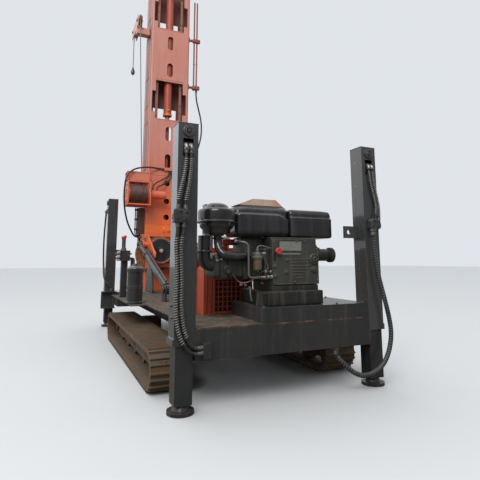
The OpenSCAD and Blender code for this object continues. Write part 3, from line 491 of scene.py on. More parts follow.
def along_path(path):
    """Distance from the start at every point of a path."""
    return np.concatenate([[0], np.cumsum(np.linalg.norm(np.diff(path, axis=0), axis=1))])


def even_points(path, count):
    """Points at an even step along a polyline."""
    along = along_path(path)
    even = np.linspace(0, along[-1], count)
    return np.stack([np.interp(even, along, path[:, i]) for i in range(3)], axis=1)


def smooth_path(points, count):
    """Even points along a Catmull-Rom curve through the given ones."""
    p = np.asarray(points, float)
    p = np.vstack([2 * p[0] - p[1], p, 2 * p[-1] - p[-2]])
    t = np.linspace(0, len(p) - 3, 40 * (len(p) - 3) + 1)
    k = np.minimum(t.astype(int), len(p) - 4)
    u = (t - k)[:, None]
    a, b, c, d = p[k], p[k + 1], p[k + 2], p[k + 3]
    curve = 0.5 * (2 * b + (c - a) * u + (2 * a - 5 * b + 4 * c - d) * u ** 2 + (3 * b - 3 * c + d - a) * u ** 3)
    return even_points(curve, count)


def tube(path, radius, sides=14):
    """A round skin along a path. The radius may be one number, one for each point, or one for each side too."""
    tangent, side, up = frames_along(path)
    turn = np.linspace(0, 2 * np.pi, sides, endpoint=False)
    r = np.asarray(radius, float)
    r = (r if r.ndim == 2 else np.broadcast_to(r, (len(path),))[:, None])[:, :, None]
    return skin(path[:, None] + r * (np.cos(turn)[:, None] * side[:, None] + np.sin(turn)[:, None] * up[:, None]))


def bend(points, r, count=48, sides=28):
    """A pipe with smooth bends through places of the machine, in millimetres."""
    return tube(smooth_path(rig(*table(points)), count), r / MM, sides)


def box(low, high, r, cells=8, bulge=0.0, press=None):
    """A box with round edges and bulged faces, in millimetres; press(points) gives each point a shift."""
    low, high = rig(low, high)
    middle, half = (low + high) / 2, (high - low) / 2
    r, bulge = r / MM, bulge / MM
    line = np.sin(np.linspace(-np.pi / 2, np.pi / 2, cells + 1))
    u, v = (g.ravel() for g in np.meshgrid(line, line, indexing="ij"))
    index = np.arange((cells + 1) ** 2).reshape(cells + 1, cells + 1)
    quads = np.stack([index[:-1, :-1], index[1:, :-1], index[1:, 1:], index[:-1, 1:]], axis=-1).reshape(-1, 4)
    shapes = []
    for axis in range(3):
        for sign in (-1.0, 1.0):
            cube = np.zeros((len(u), 3))
            cube[:, axis], cube[:, (axis + 1) % 3], cube[:, (axis + 2) % 3] = sign, u, v
            target = middle + cube * half
            inner = np.clip(target, low + r, high - r)
            away = target - inner
            size = np.linalg.norm(away, axis=1)[:, None]
            points = inner + r * away / np.maximum(size, 1e-9)
            points[:, axis] += sign * bulge * (1 - u ** 2) * (1 - v ** 2)
            shapes.append((points, quads.tolist()))
    points, faces = gather(shapes)
    return points + (press(points) if press else 0), faces


def step_up(value, low, high):
    """0 below low, 1 above high, smooth between."""
    t = np.clip((value - low) / (high - low), 0, 1)
    return t * t * (3 - 2 * t)


def prism(outline, axis, low, high, bevel):
    """A plate with the given outline, in millimetres: a bevel is drawn in towards its middle on both faces."""
    outline = table(outline)
    middle = outline.mean(axis=0)
    away = outline - middle
    inset = away * (1 - bevel / np.linalg.norm(away, axis=1))[:, None] + middle
    rings = [np.insert(ring, axis, level, axis=1)
             for ring, level in ((inset, low), (outline, low + bevel), (outline, high - bevel), (inset, high))]
    return skin(rig(*rings))


def rib(a, b, width, height, normal=REAR):
    """A low round-topped bar from a to b, standing out along the normal, in millimetres."""
    a, b, normal = (np.asarray(v, float) for v in (a, b, normal))
    run = (b - a) / np.linalg.norm(b - a)
    side, reach = np.cross(run, normal), run * width / 2
    section = np.array([width / 2 * math.cos(t) * side + height * math.sin(t) * normal
                        for t in np.linspace(0, np.pi, 7)])
    return skin(rig(a - reach + 0.3 * section, a + section, b + section, b + reach + 0.3 * section))


def lobed(profile, place, count, lobes, depth):
    """A shape turned toward the rear whose rim goes in and out, in millimetres."""
    turn = np.linspace(0, 2 * np.pi, count, endpoint=False)
    wave = 1 + depth * np.cos(lobes * turn)
    rings = [np.stack([r * wave * np.cos(turn), np.full(count, -h), r * wave * np.sin(turn)], axis=1) + place
             for r, h in table(profile)]
    return skin(rig(*rings))


# %% [markdown]
# The hoses hang free between two fittings. The CAD model holds each one as a plain
# swept tube, and the same points give the smooth hose that takes its place. Every
# end gets a crimped sleeve and a nut where it meets its port.

# %% Hoses
HOSES = """
hose_right chassis 18.2: 797 -38 1265, 797 -38 1190, 800 -39 1100, 808 -42 1000, 822 -46 890, 848 -50 775,
876 -54 660, 901 -58 540, 912 -60 435, 900 -60 340, 862 -60 245, 800 -60 172, 715 -58 128, 620 -54 115, 535 -44 145,
465 -18 205, 425 18 260, 420 30 300, 420 30 331;
hose_left_upper_a chassis 12: -836 -24 1791, -836 -24 1730, -842 -27 1660, -856 -30 1570, -876 -32 1480,
-890 -32 1410, -890 -32 1345;
hose_left_upper_b chassis 12: -800 -24 1791, -800 -24 1730, -803 -27 1660, -812 -30 1570, -826 -32 1480,
-838 -32 1410, -838 -32 1345;
hose_left_lower_a chassis 12: -892 -32 1265, -892 -32 1200, -899 -32 1110, -893 -32 990, -889 -32 860, -891 -32 740,
-887 -32 640, -872 -32 545, -838 -32 460, -790 -31 405, -745 -30 390, -700 -30 390;
hose_left_lower_b chassis 12: -850 -32 1265, -850 -32 1200, -865 -32 1110, -862 -32 990, -857 -32 860, -857 -32 740,
-851 -32 645, -836 -32 560, -808 -32 480, -775 -31 438, -742 -30 425, -700 -30 425;
hose_front_left chassis 13: -916 4185 1791, -916 4185 1730, -922 4184 1600, -928 4182 1450, -930 4180 1300,
-928 4177 1150, -924 4171 1020, -919 4158 905, -917 4125 815, -909 4086 742, -885 4055 685, -850 4038 640,
-818 4031 606, -805 4030 580, -805 4030 541;
hose_winch_a mast 11: -275 3745 2100, -275 3745 2140, -252 3775 2198, -190 3815 2255, -110 3850 2305, -40 3880 2352,
10 3896 2396, 30 3900 2440, 30 3900 2480;
hose_winch_b mast 11: -200 3745 2100, -200 3745 2135, -178 3775 2178, -115 3820 2215, -45 3858 2258, 20 3888 2315,
54 3898 2372, 62 3900 2425, 62 3900 2480;
hose_mast_left mast 13: -60 3900 2505, -120 3900 2505, -200 3880 2504, -320 3820 2494, -440 3755 2468,
-560 3708 2425, -645 3688 2358, -700 3674 2258, -718 3664 2130, -722 3662 1990, -712 3672 1850, -684 3710 1715,
-636 3785 1590, -570 3870 1480, -505 3945 1400, -440 3985 1375, -375 3985 1375;
hose_mast_right mast 13: 493 3970 3990, 493 3970 3920, 505 3970 3810, 538 3970 3670, 576 3970 3520, 600 3970 3360,
597 3970 3190, 566 3970 3020, 518 3970 2870, 478 3970 2755, 435 3970 2670, 375 3970 2670"""
NUT = np.array([(1.5, 0), (1.62, 0.12), (1.62, 1.0), (1.5, 1.12)])
SLEEVE = np.array([(0.9, 1.05), (1.28, 1.1), (1.32, 1.5), (1.24, 1.7), (1.32, 1.9), (1.24, 2.15), (1.32, 2.4),
                   (1.24, 2.65), (1.3, 2.9), (1.2, 3.15), (0.98, 3.2)])
hose_paths = {}
ends = {"chassis": [], "mast": []}
for hose in HOSES.split(";"):
    title, points = hose.split(":")
    name, body, r = title.split()
    r, points = float(r) / MM, table(points)
    path = smooth_path(rig(*points), 12 * len(points))
    skinned = piece(name + "_skin", [tube(path, r, 16)], "hose_rubber", body, 60, name)
    hose_paths[name] = path
    for base, inward in ((path[0], path[1]), (path[-1], path[-2])):
        ends[body] += [lathe(r * NUT, base, inward - base, 6), lathe(r * SLEEVE, base, inward - base, 20)]
    print(name, "length", round(along_path(path)[-1], 3))
for body, shapes in ends.items():
    piece("hose_ends_" + body, shapes, "zinc_dark", body=body)


def coil_around(path, r, wire, pitch):
    """A wire wound round a path, as a spring guard lies round a hose."""
    length = along_path(path)[-1]
    count = int(length / pitch * 14)
    even = smooth_path(path[::4], count)
    tangent, side, up = frames_along(even)
    turn = np.linspace(0, 2 * np.pi * length / pitch, count)[:, None]
    return tube(even + r * (np.cos(turn) * side + np.sin(turn) * up), wire, 6)


guards = [coil_around(hose_paths["hose_left_upper_" + n][14:-12], 0.0136, 0.0030, 0.0150) for n in "ab"]
guards += [coil_around(hose_paths["hose_left_lower_" + n][16:-20], 0.0136, 0.0028, 0.0170) for n in "ab"]
piece("spring_guards", guards, "zinc", sharp=80)
piece("spiral_wrap", [coil_around(hose_paths["hose_right"][10:-8], 0.0176, 0.0026, 0.0210)], "spiral_grey",
      sharp=80)


# %% [markdown]
# The hoist rope is six strands laid together. The tube's radius swells and dips
# six times round the rope, and the pattern turns as it goes along, so the strands
# show in the light. The same rope lies in tight turns on the winch drum.

# %% Hoist rope and drum turns
def laid_rope(path, r, lay_length, sides=18):
    """A rope of six strands along a path: the radius follows a turning six-lobed wave."""
    turn = np.linspace(0, 2 * np.pi, sides, endpoint=False)
    wave = np.cos(6 * (turn - 2 * np.pi * along_path(path)[:, None] / lay_length))
    return tube(path, r * (0.93 + 0.07 * wave), sides)


def dense(points, step):
    """The same polyline with points at an even step."""
    return even_points(points, int(along_path(points)[-1] / step) + 2)


HOIST_X, SHEAVE_Z, SHEAVE_R = -540, 5100, 90
WINCH_Y, WINCH_Z = 3745, 2035
rope_path = dense(rig((-415, 3885, WINCH_Z), (HOIST_X, 3885, 4950),
                      *circle_of((HOIST_X, 3975, SHEAVE_Z), SHEAVE_R, 0, np.radians(np.linspace(180, 90, 9))),
                      *circle_of((HOIST_X, 4410, SHEAVE_Z), SHEAVE_R, 0, np.radians(np.linspace(90, 0, 9))),
                      (HOIST_X, 4500, 4460)), 0.008)
rope_skin = piece("hoist_rope_strands", [laid_rope(rope_path, 0.0075, 0.055)], "wire_rope", body="mast", sharp=70,
                  node_name="hoist_rope")
rope_socket = piece("rope_socket", [turned(
    "0 0, 20 2, 30 20, 34 35, 34 75, 27 85, 16 120, 13 135, 0 136",
    (HOIST_X, 4500, 4330), UP, 28)], "zinc_dark", body="mast")

TURNS, TURN_POINTS, DRUM_R, DRUM_PITCH = 15, 44, 141.8, 18.7
wound = np.linspace(0, 2 * np.pi * TURNS, TURNS * TURN_POINTS)
sway = 3.5 * np.sin(wound * 0.83) * np.sin(wound / (2 * TURNS)) + 2 * np.sin(wound * 0.31 + 1.0)
coil = np.stack([-644 + DRUM_PITCH * wound / (2 * np.pi) + sway, WINCH_Y + DRUM_R * np.cos(wound),
                 WINCH_Z + DRUM_R * np.sin(wound)], axis=1)
piece("drum_turns", [laid_rope(rig(*coil), 0.0089, 0.06, 12)], "drum_wire", body="winch_drum", sharp=70)


# %% [markdown]
# The engine is a horizontal single-cylinder diesel. Its fuel tank and radiator hood
# are pressed sheet: the front is upright up to a crease and slopes back above it.
# The air cleaner is a turned shape with rolled rims.

# %% Engine: tank, hood and air cleaner
def press_tank(points):
    """Slope above the crease and a shallow field below it on the tank's front, in metres."""
    shift = np.zeros_like(points)
    x, y, z = (points + (0, MIDDLE, 0)).T
    front = step_up(-y, -0.24, -0.17)
    crease = 1.362 - 0.035 * step_up(x, 0.0, 0.11)
    field = step_up(x, -0.325, -0.305) * step_up(-x, -0.075, -0.055)
    field *= step_up(z, 1.215, 1.235) * step_up(-z, -1.345, -1.33)
    shift[:, 1] = front * (0.030 * step_up(z, crease, crease + 0.02) + 0.02 * step_up(z, 1.39, 1.45) - 0.0022 * field)
    shift[:, 2] = -0.012 * step_up(-x, 0.25, 0.36) * step_up(z, 1.36, 1.44)
    return shift


def press_hood(points):
    """The hood's crease line and its folded front edge, in metres."""
    shift = np.zeros_like(points)
    x, y, z = (points + (0, MIDDLE, 0)).T
    field = step_up(x, 0.16, 0.17) * step_up(-x, -0.50, -0.49) * step_up(-z, -1.34, -1.33)
    shift[:, 1] = step_up(-y, -0.24, -0.17) * (
        0.016 * step_up(z, 1.352, 1.362) + 0.012 * step_up(z, 1.38, 1.42) - 0.0018 * field)
    shift[:, 2] = -0.004 * step_up(x, 0.42, 0.52) * step_up(z, 1.36, 1.42)
    return shift


piece("fuel_tank_skin", [box((-370, 160, 1190), (114, 450, 1445), 45, 44, press=press_tank)], "gloss_black",
      sharp=60, node_name="fuel_tank")
piece("radiator_hood_skin", [box((120, 160, 1190), (528, 450, 1424), 22, 40, press=press_hood)], "gloss_black",
      sharp=50, node_name="radiator_hood")
CLEANER = np.array((-522, 200, 1190))
piece("air_cleaner_skin", [turned(
    "0 0, 56 0, 60 10, 98 13, 105 25, 108 45, 124 60, 130 70, 130 94, 146 96, 149.5 100, 149.5 106, 146 110, "
        "141.5 114, 142.5 130, 143.5 175, 141 190, 135 198, 124 202, 104 204, 98 208, 94 216, 88 227, 74 239, 50 248, "
        "24 251.5, 0 252.5", CLEANER, UP, 72)],
    "gloss_black", sharp=40, node_name="air_cleaner")
clips = []
for a in np.radians((200, 290, 20, 110)):
    for low, high, push in ((75, 125, 143.5), (92, 110, 147.5)):
        foot = CLEANER + (push * math.cos(a), push * math.sin(a), 0)
        clips.append(tube(rig(*(foot + (0, 0, z) for z in (low, (low + high) / 2, high))), 0.0035, 8))
piece("air_cleaner_clips", clips, "zinc_dark")
piece("air_pipes_skin", [
    bend("-612 225 1190, -612 225 1120, -612 225 1050, -606 225 1000, -582 225 975, -550 225 968, -530 225 968", 47),
    turned("47 0, 60 1, 62 4, 62 16, 60 19, 47 20", (-612, 225, 1060)),
    bend("-512 200 1190, -512 196 1140, -509 178 1092, -490 148 1054, -450 134 1038, -380 132 1034, -320 142 1033, "
        "-275 168 1033", 32),
    turned("32 0, 46 1, 47 12, 32 13", (-512, 200, 1165), UP, 36)],
    "gloss_black", node_name="air_pipes")

# %% [markdown]
# The castings under the tank keep their CAD sizes but get the soft edges, ribs,
# bosses and bolts that sand casting leaves. The side cover is a machined plate
# with a blank data plate, a red stop knob in a slot and cooling ribs.

# %% Engine: castings and side cover
piece("engine_casting", [
    box((-100, 110, 765), (326, 450, 1186), 14),
    box((-445, 170, 868), (-95, 420, 1050), 30, 14, 4),
    box((-500, 160, 862), (-438, 430, 1062), 14),
    box((-550, 167, 874), (-497, 398, 1050), 22, 10, 3),
    box((-305, 163, 858), (-272, 420, 1062), 8),
    box((-155, 120, 850), (-95, 430, 1100), 12),
    box((-298, 242, 1030), (-95, 418, 1186), 16, 10, 3),
    *(box((x - 4, 164, 885), (x + 4, 410, 1056), 3, 4) for x in (-405, -335)),
    turned("33 0, 33 8, 28 11, 20 11, 18 6, 0 6", (-445, 160, 935), REAR, 36)],
    "engine_cast", sharp=45, node_name="engine_block")
piece("engine_feet", [
    box((-152, 62, 659), (346, 450, 770), 10), box((-152, 450, 659), (-100, 578, 770), 10),
    box((-100, 96, 765), (322, 120, 812), 6, 6),
    prism("-235 660, -150 660, -150 752, -225 772", 1, 100, 112, 2)], "base_cast", sharp=45)
cover = [(-100, 820), (326, 820), (326, 1105), (318, 1113), (210, 1162), (204, 1165.5), (-100, 1165.5)]
rim = [(x * 0.985 + 1.7, 91, z) for x, z in cover]
bosses = [(-73, 883, 22), (24, 912, 21), (36, 1006, 16), (-81, 958, 15)]
piece("side_cover_casting", [
    prism(cover, 1, 90, 112, 4), *(rib(a, b, 7, 3.5) for a, b in zip(rim, rim[1:] + rim[:1])),
    *(rib((a, 90.5, z), (b, 90.5, z), 9, 4)
      for a, b, z in ((50, 240, 1011), (40, 240, 987), (76, 240, 959), (85, 220, 935), (93, 200, 913), (93, 200, 890),
                 (121, 200, 868))),
    turned("46 0, 46 6, 40 10, 40 14, 32 16, 30 9, 24 9, 23 18, 18 21, 10 21, 9 12, 0 12", (284, 92, 1013), REAR, 44),
    turned("26 0, 26 6, 21 8, 20 16, 16 18, 0 18", (281, 92, 930), REAR, 36),
    *(turned([(r, 0), (r, 4), (0.8 * r, 6), (0, 6)], (x, 92, z), REAR, 28) for x, z, r in bosses)],
    "cover_cast", sharp=40, node_name="engine_cover")
spots = [(x, 84, z) for x, z, _ in bosses] + [(x, 88, z) for x, z in (
    (-85, 1148), (120, 1155), (195, 1152), (308, 1095), (310, 850), (100, 835), (-85, 835))]
piece("side_cover_bolts", [bolts(spots, REAR, 8.5, 7)], "zinc_dark")
piece("blank_plate", [
    prism("-34 1080, 166 1080, 166 1152, -34 1152", 1, 87.8, 91, 0.8),
    prism("-32 1050, 155 1050, 155 1060, -32 1060", 1, 87, 91, 1)], "plate_metal")
piece("plate_rivets", [turned("3 0, 2.6 1.6, 0 2.2", (x, 89, z), REAR, 12)
                       for x in (-27, 159) for z in (1087, 1145)], "zinc_dark")
slot_outline = table("0 .1, .15 .02, .5 0, .85 .02, 1 .1, 1 .9, .85 .98, .5 1, .15 .98, 0 .9") * (20, 70) + (-86, 998)
piece("knob_slot", [prism(slot_outline, 1, 89.2, 91, 0)], "shadow_black")
piece("stop_knob", [lobed("8 0, 9 10, 20 12, 26 16, 26.5 24, 22 28, 12 28, 10 24, 0 24",
                          (-52, 88, 1076), 48, 6, 0.05)], "knob_red")

# %% [markdown]
# Fuel runs from the tank through a glass-bowled filter to the pump, in thin steel
# pipes with brass fittings. Small levers and unions crowd the space beside them.

# %% Engine: fuel line and small fittings
FILTER = (-228, 90, 926)
piece("filter_bowl", [turned("0 0, 18 1, 30 6, 34 14, 34.5 20, 34.5 70, 33 72, 34.5 74, 34.5 90, 0 90", FILTER)],
      "amber_bowl")
piece("filter_head", [
    turned("0 88, 40 88, 42.5 92, 42.5 106, 39 110, 34 112, 34 130, 28 136, 14 138, 14 150, 8 152, 0 152", FILTER),
    box((-240, 90, 1044), (-216, 170, 1066), 4, 4),
    turned("0 -12, 8 -12, 10 -8, 10 0, 16 2, 0 3", FILTER, UP, 12)], "dull_alloy",
    node_name="fuel_filter")
piece("fuel_pipes", [
    bend("-366 160 1150, -352 118 1144, -325 100 1137, -306 92 1115, -302 90 1060, -302 90 950, -300 90 895, "
        "-286 90 877, -255 90 874, -225 90 875", 8.5, 90, 14),
    bend("-228 90 1075, -226 90 1100, -205 90 1114, -160 90 1108, -108 95 1096", 6, 60, 12),
    bend("-190 90 1056, -178 90 1040, -155 88 990, -138 88 957, -150 90 930, -164 92 919, -130 95 918, -110 100 918",
         4, 60, 10)], "dull_alloy", sharp=60)
piece("brass_unions", [turned([(0.6 * r, 0), (r, 1), (r, 13), (0.6 * r, 14)], (x, 90, 875.5), RIGHT, 6)
                       for x, r in ((-222, 12.5), (-205, 14))], "brass")
unions = [turned([(0.7 * r, 0), (r, 0.1 * h), (r, 0.9 * h), (0.7 * r, h)], (x, y, z), d, 6) for x, y, z, d, r, h in (
    (-188, 90, 877, RIGHT, 10, 30), (-150, 90, 878, RIGHT, 14, 22), (-123, 90, 878, RIGHT, 17, 22),
    (-228, 90, 1078, UP, 12, 14), (-172, 86, 918, RIGHT, 13, 14), (-126, 90, 918, RIGHT, 12, 14),
    (-186, 90, 1057, RIGHT, 9, 30), (-372, 160, 1150, LEFT, 12, 14))]
unions += [turned([(r, 0), (r, 12), (0.8 * r, 14), (0.5 * r, 14), (0.5 * r, 30), (0, 31)], (x, 165, z), REAR, 6)
           for x, z, r in ((-531, 1004, 11), (-500, 1011, 10), (-335, 823, 11), (-300, 818, 9), (-266, 800, 8),
                           (-158, 829, 9))]
piece("steel_unions", unions, "zinc")
piece("injector_pipes", [
    bend("-140 130 930, -190 125 905, -260 120 855, -320 135 835, -360 160 850, -400 165 900",
         5, 60, 10),
    bend("-262 150 800, -266 140 775, -268 130 740, -262 120 700", 6, 30, 10)], "zinc_dark", sharp=60)
piece("orange_bracket", [box((-415, 340, 1125), (-300, 370, 1175), 12, 6),
                         box((-415, 330, 1078), (-375, 370, 1130), 10, 6)],
      "box_orange")

# %% [markdown]
# The leg fittings: each rear leg has a valve block with bolts and ports halfway up,
# and elbows that come out of the window under the pin cap. The pin caps are turned
# discs with rings. On the right leg two lines in spring guards join window and block.

# %% Legs: caps, windows, valve blocks
LEG_X, REAR_LEG_Y, FRONT_LEG_Y, WINDOW_Z = 817, 75, 4185, 1791
CAP = "41 0, 41.5 1, 41.5 4, 37 6, 34 6, 32 3, 28 3, 27 7, 24.5 9.5, 20 9.5, 18.5 6, 13 6, 12.5 10.5, 8 11.5, 0 11.5"
piece("pin_caps", [turned(CAP, (x, y, 1926), d, 48) for x, y, d in (
    (-LEG_X, -10, REAR), (LEG_X, -10, REAR), (-902, FRONT_LEG_Y, LEFT), (902, FRONT_LEG_Y, RIGHT))],
      "leg_paint", sharp=40)
PORT = "12 0, 15.5 1, 15.5 10, 12 11"
fittings = []
for x, y, toward, inner in (
        (-836, -24, FRONT, 30), (-800, -24, FRONT, 30), (802, -20, FRONT, 26), (836, -20, FRONT, 26),
        (-916, FRONT_LEG_Y, RIGHT, 24), (912, FRONT_LEG_Y - 15, LEFT, 22), (912, FRONT_LEG_Y + 15, LEFT, 22)):
    p, t = np.array((x, y, WINDOW_Z), float), np.array(toward, float)
    fittings += [bend([p + t * out + (0, 0, up) for out, up in ((0, 0), (0, 12), (6, 23), (20, 28), (inner, 28))],
                      10.5, 20, 14),
                 turned(PORT, p - (0, 0, 2), UP, 6), turned(PORT, p + t * (inner - 16) + (0, 0, 28), toward, 6)]
piece("window_elbows", fittings, "zinc", sharp=40)
blocks = [box(low, high, r, cells) for x, side in ((-867, -1), (817, 1)) for low, high, r, cells in (
    ((x - 50, -58, 1268), (x + 50, -2, 1342), 5, 8),
    ((x - 50 + 12 * side, -60, 1258), (x + 20 + 12 * side, -6, 1352), 6, 8),
    ((x + 52 * side - 14, -46, 1280), (x + 52 * side + 14, -16, 1318), 4, 6))]
piece("valve_blocks", blocks, "leg_paint", sharp=45)
# painted shade: thin near-black plates stand in each leg window in the place of the valves, for the shade inside the
# window
shade_plates = [box((x - 38, -3, 1762), (x + 38, 6, 1842), 3, 6) for x in (-LEG_X, LEG_X)]
shade_plates += [box((x, FRONT_LEG_Y - 37, 1762), (x + 8, FRONT_LEG_Y + 37, 1842), 3, 6) for x in (-894, 886)]
piece("window_shade_plates", shade_plates, "shadow_black", node_name="leg_valves")
piece("block_bolts", [turned("7.5 -4, 7.5 1, 6 3, 4 3, 3.5 -1, 0 -1", (x + dx, -60.5, z), REAR, 18)
                      for x in (-867, 817) for dx, z in ((-30, 1283), (30, 1283), (-12, 1330), (34, 1328))],
      "shadow_black")
lines = [smooth_path(rig(*route), 70) for route in (
    [(802, -20, 1791), (802, -20, 1745), (812, -20, 1660), (836, -21, 1560), (856, -22, 1470), (846, -26, 1400),
     (842, -28, 1352)],
    [(836, -20, 1791), (836, -20, 1745), (845, -20, 1660), (866, -21, 1560), (884, -22, 1470), (884, -24, 1390),
     (876, -30, 1330), (866, -34, 1308)])]
piece("leg_lines", [tube(line, 0.0095, 14) for line in lines], "hose_rubber", sharp=60)
piece("leg_line_guards", [coil_around(line[4:-4], 0.0115, 0.0028, 0.0150) for line in lines], "zinc", sharp=80)


# %% [markdown]
# Each sleeve is folded plate: welds run where collars, lugs and arms meet it, and
# stop bolts sit above the collar.

# %% Legs: welds, collars and feet
def weld(a, b, r):
    """A weld bead from a to b: a tube whose radius ripples like laid metal."""
    points = dense(rig(a, b), 0.003)
    return tube(points, r / MM * (1 + 0.16 * np.abs(np.sin(np.pi * np.arange(len(points)) / 4))), 8)


welds = []
for x in (-742, 742):
    welds += [weld((x, 5, 545), (x, 155, 545), 5), weld((x, -1, 345), (x, -1, 535), 5)]
welds += [weld((x, 1, 1986), (x, 149, 1986), 3) for x in (-892, -742, 742, 892)]
piece("frame_welds", welds, "leg_paint")
stops = []
for side in (-1, 1):
    x = LEG_X * side
    stops += [bolts([(x + u, REAR_LEG_Y + 85, 462.5) for u in (-45, 45)], FRONT, 11, 9),
              bolts([(x + 75.5 * side, REAR_LEG_Y, z) for z in (620, 700)], (side, 0, 0), 12, 10),
              bolts([(x, FRONT_LEG_Y - 75, z) for z in (575, 665)], REAR, 12, 10)]
piece("leg_stop_bolts", stops, "zinc_dark")
for name, x, y in (("rear_left", -LEG_X, REAR_LEG_Y), ("rear_right", LEG_X, REAR_LEG_Y),
                   ("front_left", -LEG_X, FRONT_LEG_Y), ("front_right", LEG_X, FRONT_LEG_Y)):
    piece("foot_detail_" + name, [
        bolts(circle_of((x, y, 23.5), 70, 2, spread(6, 0.3)), UP, 10, 4.5),
        turned("60 23.5, 66 24, 67 26.5, 58 28.2, 50 28.5", (x, y, 0))],
        "chassis_black", "leg_" + name)

# %% [markdown]
# The winch hangs on the mast's left. A rim runs round the open front of its frame,
# and a motor with a bolted flange drives the drum from the right.

# %% Winch frame and motor
rim = [box(low, high, 3, 6) for low, high in (
    ((-678, 3588, 2196), (-332, 3606, 2216)), ((-678, 3588, 1844), (-332, 3606, 1866)),
    ((-684, 3586, 1842), (-664, 3600, 2218)), ((-346, 3586, 1842), (-326, 3600, 2218)),
    ((-676, 3738, 2246), (-320, 3756, 2262)), ((-676, 3734, 2376), (-320, 3750, 2393)))]
rim += [rib((x, 3600, z), (x, 3900, z), 12, 5, d) for z in (1900, 2160) for x, d in ((-680.5, LEFT), (-329.5, RIGHT))]
piece("winch_rim", rim, "mast_orange", "mast", 40)
piece("winch_motor_casing", [
    turned("66 0, 94 1, 96 4, 96 18, 92 21, 72 23, 69 30, 69 60, 66 64",
      (-331, WINCH_Y, WINCH_Z), RIGHT, 48),
    turned("66 0, 72.5 2, 72.5 30, 66 32", (-215, WINCH_Y, WINCH_Z), RIGHT, 48),
    turned("66 0, 66.5 3, 60 9, 46 12, 44 20, 20 22, 0 22", (-83, WINCH_Y, WINCH_Z), RIGHT, 48),
    box((-300, 3715, 2085), (-176, 3775, 2102), 6)], "mast_orange", "mast", 40)
piece("winch_bolts", [
    bolts(circle_of((-310.5, WINCH_Y, WINCH_Z), 82, 0, spread(8, 0.2)), RIGHT, 9, 8),
    bolts(circle_of((-681.5, WINCH_Y, WINCH_Z), 50, 0, spread(6)), LEFT, 9, 8),
    bolts([(x, 3907.5, z) for x in (-655, -300) for z in (1875, 2190)], REAR, 11, 9)], "zinc_dark", body="mast")

# %% [markdown]
# The mast is a welded box. Beads cross it where its plates meet, pipes run up its
# right side in clamps, and the feed chains show through its windows.

# %% Mast: beads, pipes and chains
BACK = 3921
seams = [rib((a, BACK, z), (b, BACK, z), 14, 6) for z, a, b in (
    (1595, -330, 330), (1865, -300, 330), (2405, -300, 330), (4085, -240, 240), (3365, -230, 230), (5735, -240, 240),
    (5015, -230, 230), (520, -330, 330))]
seams += [rib((x, BACK, low), (x, BACK, high), 8, 3) for x in (-285, 285)
          for low, high in ((530, 2390), (2420, 3260), (4180, 4920))]
seams += [rib((x, 3970, z), (x, 4240, z), 12, 5, d)
          for x, d in ((-345, LEFT), (345, RIGHT)) for z in range(900, 5701, 800)]
piece("mast_seams", seams, "mast_orange", "mast", 50)
piece("mast_bosses", [
    turned("0 0, 56 0, 56 18, 48 22, 48 70, 44 76, 26 78, 24 88, 0 88", (-6, BACK, 1490), REAR),
    turned("0 0, 30 0, 30 12, 24 16, 22 30, 0 30", (86, BACK, 1492), REAR, 32),
    turned("70 0, 76 2, 76 40, 70 43", (0, 4030, 3462), UP, 48),
    turned("0 0, 22 0, 22 14, 16 18, 0 18", (0, 3966, 3560), REAR, 28)],
    "boss_orange", "mast", 40)
piece("side_guide", [box((-447, 3944, 1420), (-344, 3958, 1845), 3, 6),
                     box((-449, 3944, 1420), (-436, 4020, 1845), 3, 6),
                     *(box((-440, 3956, z), (-344, 4016, z + 12), 3, 5) for z in (1520, 1720))],
      "band_brown", "mast", 40)
side_lines = [bend([(x, 3985, 1848), (x, 3985, 1800), (x, 3985, 1620), (x, 3985, 1480), (x + 6, 3990, 1430),
                    (x + 30, 4000, 1400), (x + 65, 4005, 1395), (-344, 4005, 1395)], 8.5, 40, 14) for x in (-462, -486)]
side_lines += [box((-500, 3970, z - 14), (-446, 4000, z + 14), 4, 6) for z in (1500, 1660, 1810)]
side_lines += [turned("13 0, 13 14, 9 16, 9 30, 0 31", (-474, 3972, z), REAR, 6) for z in (1660, 1500)]
piece("side_lines", side_lines, "chassis_black", "mast", 50)
clamps = [box(low, high, r, cells) for z in (4040, 4930) for low, high, r, cells in (
    ((412, 3934, z - 34), (549, 3990, z + 34), 12, 10), ((344, 3948, z - 45), (356, 3992, z + 45), 3, 5))]
clamps += [turned("14.5 0, 16.5 2, 16.5 18, 14.5 20", (x, 3970, 4480), UP, 24) for x in (443, 493)]
piece("pipe_clamps", clamps, "pipe_red", "mast", 40)
piece("pipe_nuts", [turned("15 0, 21.5 2, 21.5 22, 17.5 26, 17.5 34, 15 35", (x, 3970, 3992), UP, 6)
                    for x in (443, 493)], "zinc_dark", body="mast")
LINK_HALF, LINK_CUT, CHAIN_PITCH = np.array((0.9, 4.5, 27.5)), 2.5, 38
link_turn = (np.arange(4)[:, None] * np.pi / 2 + (0, np.pi / 2)).ravel()
link_corner = np.repeat([[1, 1], [-1, 1], [-1, -1], [1, -1]], 2, axis=0) * LINK_HALF[:2]
link_round = LINK_CUT * np.stack([np.cos(link_turn), np.sin(link_turn)], axis=1)
link = np.array([np.insert(link_corner + k * link_round, 2, z, axis=1) for k, z in (
    (0, -LINK_HALF[2] - LINK_CUT), (1, -LINK_HALF[2]), (1, LINK_HALF[2]), (0, LINK_HALF[2] + LINK_CUT))])
chain = []
for x in (-205, 205):
    for i, z in enumerate(np.arange(740, 5660, CHAIN_PITCH)):
        chain.append(turned("0 0, 6.5 1, 6.5 47, 0 48", (x - 24, 3984, z), RIGHT, 8))
        chain += [skin(rig(*(link + (x - 17.6 + 8.8 * k, 3984, z + 19)))) for k in ((0, 2, 4) if i % 2 else (1, 3))]
piece("chain_links", chain, "chain_brown", "mast", 40)

